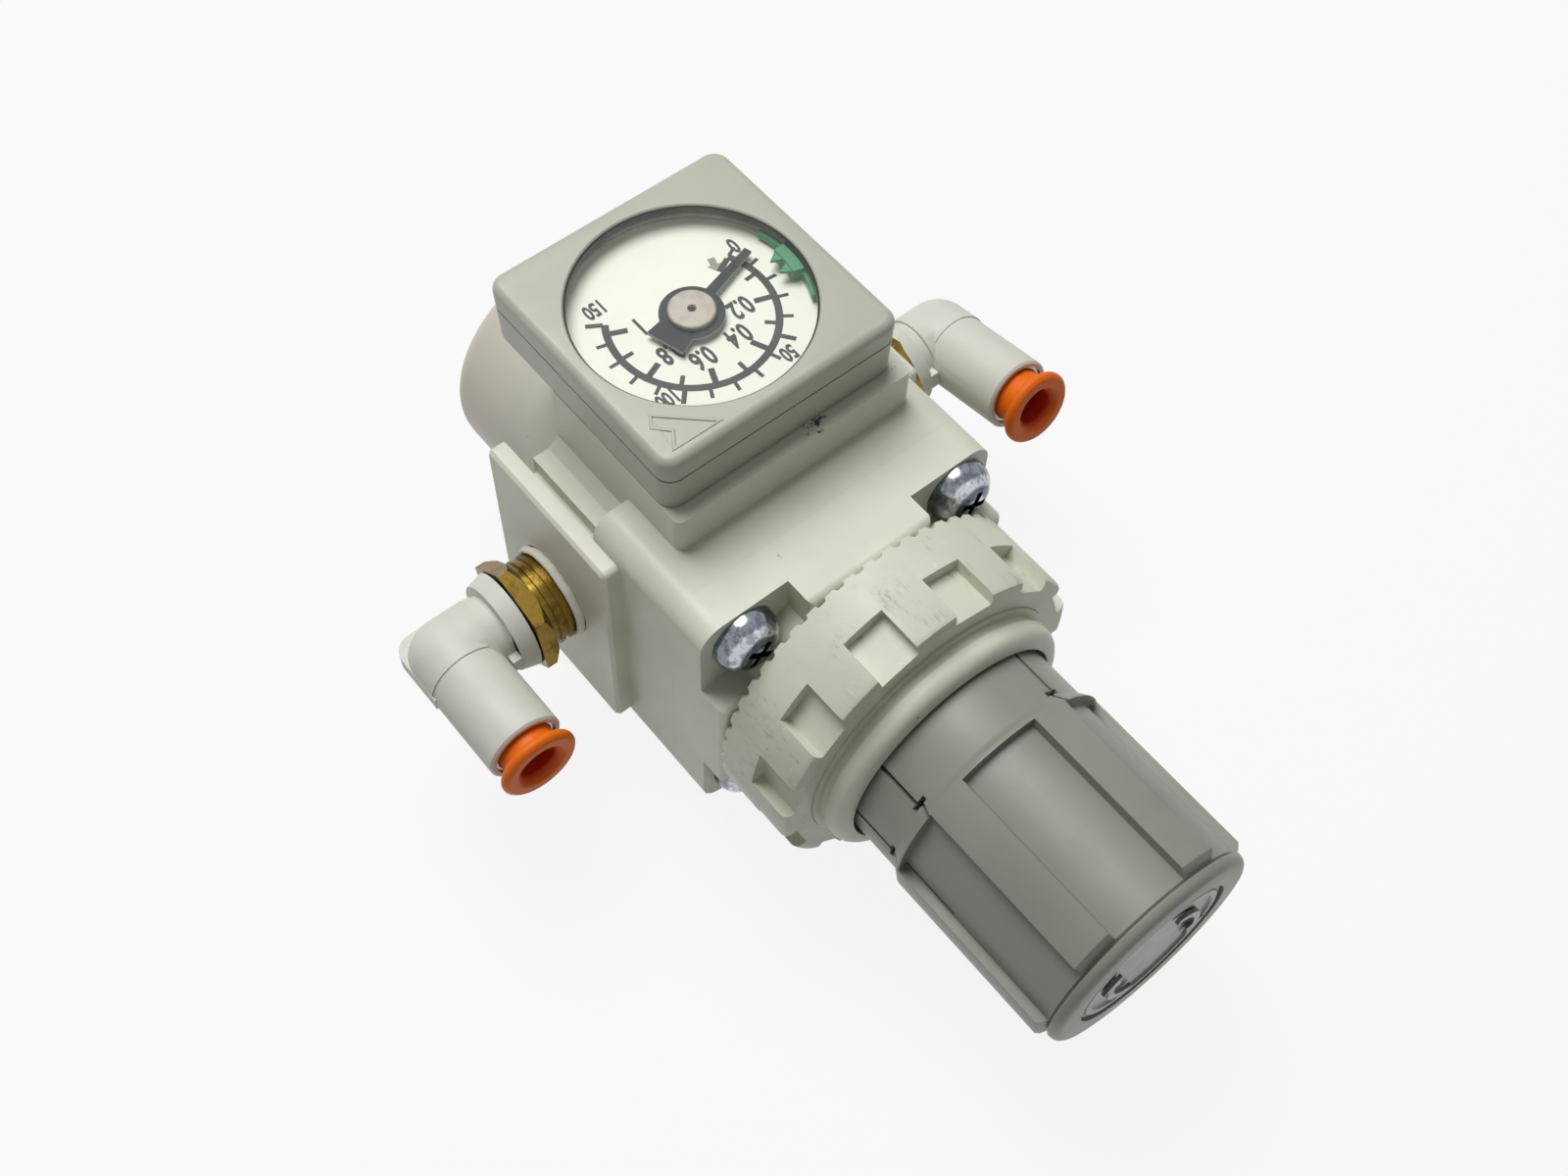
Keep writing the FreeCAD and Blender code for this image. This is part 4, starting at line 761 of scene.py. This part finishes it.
def sealant(side, sign):
    """Sealant collar about the port axis: a rounded section about a mean radius, both swollen by lumps that are
    a sum of sines round the axis."""
    mean = 5.1
    thick = 0.34
    swell = 1.2
    n = 96
    m = 12
    low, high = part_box("stud_seal_" + side)
    x0, x1 = sorted((abs(low.x) / MM, abs(high.x) / MM))
    a = np.linspace(0, 2 * math.pi, n, endpoint=False)[:, None]
    t = np.linspace(0, 2 * math.pi, m, endpoint=False)[None, :]
    lump = 0.05 * np.sin(5 * a + 0.6) + 0.035 * np.sin(11 * a + 2.0) + 0.02 * np.sin(23 * a)
    x = sign * ((x0 + x1) / 2 + (x1 - x0) / 2 * swell * np.sin(t) + 0 * a)
    radius = mean + thick * np.cos(t) * (1 + lump) + lump * 0.9
    verts = np.stack([x, radius * np.cos(a), AXIS_Z + radius * np.sin(a)], -1).reshape(-1, 3)
    mesh = outward(mesh_from("sealant", verts, grid_faces(n, m, True, True)))
    obj = smooth(link("sealant_" + side, mesh, "sealant", "frame"), 80)
    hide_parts("stud_seal_" + side)


def springs():
    coil_spring("regulating_spring", 7.0, 0.9, 6)
    coil_spring("valve_spring", 4.4, 0.4, 6)


def coil_spring(node, mean, wire, turns):
    """Round-wire spring: the centre line (R cos p, y(p), R sin p) rises evenly between two closed end turns,
    and a circle of the wire's radius is carried along it."""
    sides = 12
    steps = 28 * turns + 1
    closed = 1.5
    low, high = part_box(node)
    near = low.y / MM + wire
    far = high.y / MM - wire
    p = np.linspace(0, 2 * math.pi * turns, steps)
    u = np.clip((p - closed * math.pi) / (2 * math.pi * (turns - closed)), 0, 1)
    centre = np.stack([mean * np.cos(p), near + (far - near) * u, AXIS_Z + mean * np.sin(p)], -1)
    along = np.gradient(centre, axis=0)
    along /= np.linalg.norm(along, axis=1)[:, None]
    out = np.stack([np.cos(p), 0 * p, np.sin(p)], -1)
    side = np.cross(along, out)
    q = np.linspace(0, 2 * math.pi, sides, endpoint=False)[None, :, None]
    verts = (centre[:, None] + wire * (np.cos(q) * out[:, None] + np.sin(q) * side[:, None])).reshape(-1, 3)
    ends = [tuple(range(sides)), tuple(range(len(verts) - sides, len(verts)))]
    faces = [tuple(f) for f in grid_faces(steps, sides, wrap_cols=True)] + ends
    obj = bpy.data.objects.new(node + "_coil", outward(mesh_from(node + "_coil", verts, faces)))
    bpy.context.scene.collection.objects.link(obj)
    obj.data.materials.append(MATERIALS["steel"])
    smooth(obj, 50)
    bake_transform(obj)
    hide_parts(node)


# Stage: the camera's place is in millimetres, the lamps' places, aims and sizes are in metres
CAMERA_ROWS = (
    (0.772266, 0.534220, -0.343823),
    (-0.634907, 0.668016, -0.388135),
    (0.022330, 0.518039, 0.855065),
)
CAMERA_AT = (-70.9017, -93.1125, 192.5033)
LENS = 44.2646
SENSOR = 36.0
FLOOR_HALF = 1500.0
FLOOR_Z = -0.05
FLOOR_POINTS = 24
FLOOR_GLOW = 0.88
WORLD_LIGHT = 0.13
LAMPS = (
    ("key", (0.02, 0.24, 0.64), (0.0, -0.01, 0.02), 0.46, 4.0),
    ("fill", (-0.50, -0.20, 0.30), (0.0, 0.0, 0.02), 0.40, 0.05),
    ("front", (0.25, -0.45, 0.45), (0.0, -0.02, 0.02), 0.22, 0.06),
)


def area_lamp(name, place, target, size, power):
    """Round lamp that faces its target."""
    light = bpy.data.lights.new(name, "AREA")
    light.shape = "DISK"
    light.size = size
    light.energy = power * settings().lamp
    obj = bpy.data.objects.new(name, light)
    bpy.context.scene.collection.objects.link(obj)
    back = np.array(place) - np.array(target)
    back /= np.linalg.norm(back)
    side = np.cross((0.0, 0.0, 1.0), back)
    side /= np.linalg.norm(side)
    up = np.cross(back, side)
    obj.matrix_world = Matrix([[side[i], up[i], back[i], place[i]] for i in range(3)] + [[0, 0, 0, 1]])


def make_camera():
    cam = bpy.data.cameras.new("camera")
    cam.lens = LENS
    cam.sensor_width = SENSOR
    cam.sensor_fit = "HORIZONTAL"
    cam.clip_start = 0.01
    obj = bpy.data.objects.new("camera", cam)
    bpy.context.scene.collection.objects.link(obj)
    obj.matrix_world = Matrix([list(CAMERA_ROWS[i]) + [CAMERA_AT[i] * MM] for i in range(3)] + [[0, 0, 0, 1]])
    bpy.context.scene.camera = obj


def make_floor():
    """Pale floor just below the object: nearly white where it is seen, with a soft share of the shadow."""
    line = np.linspace(-FLOOR_HALF, FLOOR_HALF, FLOOR_POINTS)
    x, y = np.meshgrid(line, line, indexing="ij")
    verts = np.stack([x, y, np.full_like(x, FLOOR_Z)], -1).reshape(-1, 3)
    mesh = upward(mesh_from("floor", verts, grid_faces(FLOOR_POINTS, FLOOR_POINTS)))
    floor = bpy.data.objects.new("floor", mesh)
    bpy.context.scene.collection.objects.link(floor)
    k = Kit("floor_pale", lin(206, 207, 206), 0.9, spec=0.1)
    k.set("Roughness", k.noise(6.0, 2.0) * 0.1 + 0.85)
    share = Socket(k, seen_by(k.tree, ("Camera", "Glossy"))) * FLOOR_GLOW
    glow = k.tree.nodes.new("ShaderNodeEmission")
    seen = k.node("ShaderNodeMixShader", {}, {0: share, 1: k.shader.outputs[0], 2: glow.outputs[0]})
    k.tree.links.new(seen.out, k.tree.nodes["Material Output"].inputs[0])
    floor.data.materials.append(k.mat)


def make_world():
    """Dim even light, and plain white where it is seen directly, in a reflection or through the window."""
    world = bpy.data.worlds.new("studio")
    world.use_nodes = True
    tree = world.node_tree
    tree.nodes.clear()
    soft = add_node(tree, "ShaderNodeBackground", {}, {0: (0.97, 0.98, 1.0, 1.0), 1: WORLD_LIGHT})
    white = add_node(tree, "ShaderNodeBackground", {}, {0: (1.0, 1.0, 1.0, 1.0), 1: 1.0})
    seen = seen_by(tree, ("Camera", "Glossy", "Transmission"))
    mix = add_node(tree, "ShaderNodeMixShader", {}, {0: seen, 1: soft.outputs[0], 2: white.outputs[0]})
    add_node(tree, "ShaderNodeOutputWorld", {}, {0: mix.outputs[0]})
    bpy.context.scene.world = world


def stage():
    make_camera()
    make_floor()
    make_world()
    for lamp in LAMPS:
        area_lamp(*lamp)
    bpy.context.scene.view_settings.view_transform = "Standard"


# Add-on
class REGULATOR_OT_finishes(bpy.types.Operator):
    """Give every carried-over CAD node its material"""
    bl_idname = "regulator.finishes"
    bl_label = "Finishes"

    def execute(self, context):
        carried_over()
        return {"FINISHED"}


class REGULATOR_OT_housing(bpy.types.Operator):
    """Body, bonnet, cap, panel nut and screws"""
    bl_idname = "regulator.housing"
    bl_label = "Housing"

    def execute(self, context):
        housing()
        return {"FINISHED"}


class REGULATOR_OT_knob(bpy.types.Operator):
    """Adjusting knob and its end disc"""
    bl_idname = "regulator.knob"
    bl_label = "Knob"

    def execute(self, context):
        knob_pieces()
        return {"FINISHED"}


class REGULATOR_OT_gauge(bpy.types.Operator):
    """Cover, dial print, pointer and limit indicator"""
    bl_idname = "regulator.gauge"
    bl_label = "Gauge"

    def execute(self, context):
        gauge_pieces()
        return {"FINISHED"}


class REGULATOR_OT_fittings(bpy.types.Operator):
    """Elbows, studs, release buttons and sealant"""
    bl_idname = "regulator.fittings"
    bl_label = "Fittings"

    def execute(self, context):
        fittings()
        return {"FINISHED"}


class REGULATOR_OT_springs(bpy.types.Operator):
    """Main spring and valve spring"""
    bl_idname = "regulator.springs"
    bl_label = "Springs"

    def execute(self, context):
        springs()
        return {"FINISHED"}


class REGULATOR_OT_stage(bpy.types.Operator):
    """Camera, floor and studio light"""
    bl_idname = "regulator.stage"
    bl_label = "Stage"

    def execute(self, context):
        stage()
        return {"FINISHED"}


STEPS = [
    REGULATOR_OT_finishes,
    REGULATOR_OT_housing,
    REGULATOR_OT_knob,
    REGULATOR_OT_gauge,
    REGULATOR_OT_fittings,
    REGULATOR_OT_springs,
    REGULATOR_OT_stage,
]


class REGULATOR_PT_panel(bpy.types.Panel):
    """Sidebar panel with the settings and one button for each step"""
    bl_label = "Regulator"
    bl_space_type = "VIEW_3D"
    bl_region_type = "UI"
    bl_category = "Regulator"

    def draw(self, context):
        for key in RegulatorSettings.__annotations__:
            self.layout.prop(context.scene.regulator, key)
        for cls in STEPS:
            self.layout.operator(cls.bl_idname)


CLASSES = [RegulatorSettings] + STEPS + [REGULATOR_PT_panel]


def register():
    for cls in CLASSES:
        bpy.utils.register_class(cls)
    bpy.types.Scene.regulator = bpy.props.PointerProperty(type=RegulatorSettings)


def unregister():
    del bpy.types.Scene.regulator
    for cls in reversed(CLASSES):
        bpy.utils.unregister_class(cls)


def main():
    register()
    MATERIALS.update(make_materials())
    for cls in STEPS:
        getattr(bpy.ops.regulator, cls.bl_idname.split(".")[1])()
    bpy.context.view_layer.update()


if __name__ == "__main__":
    main()
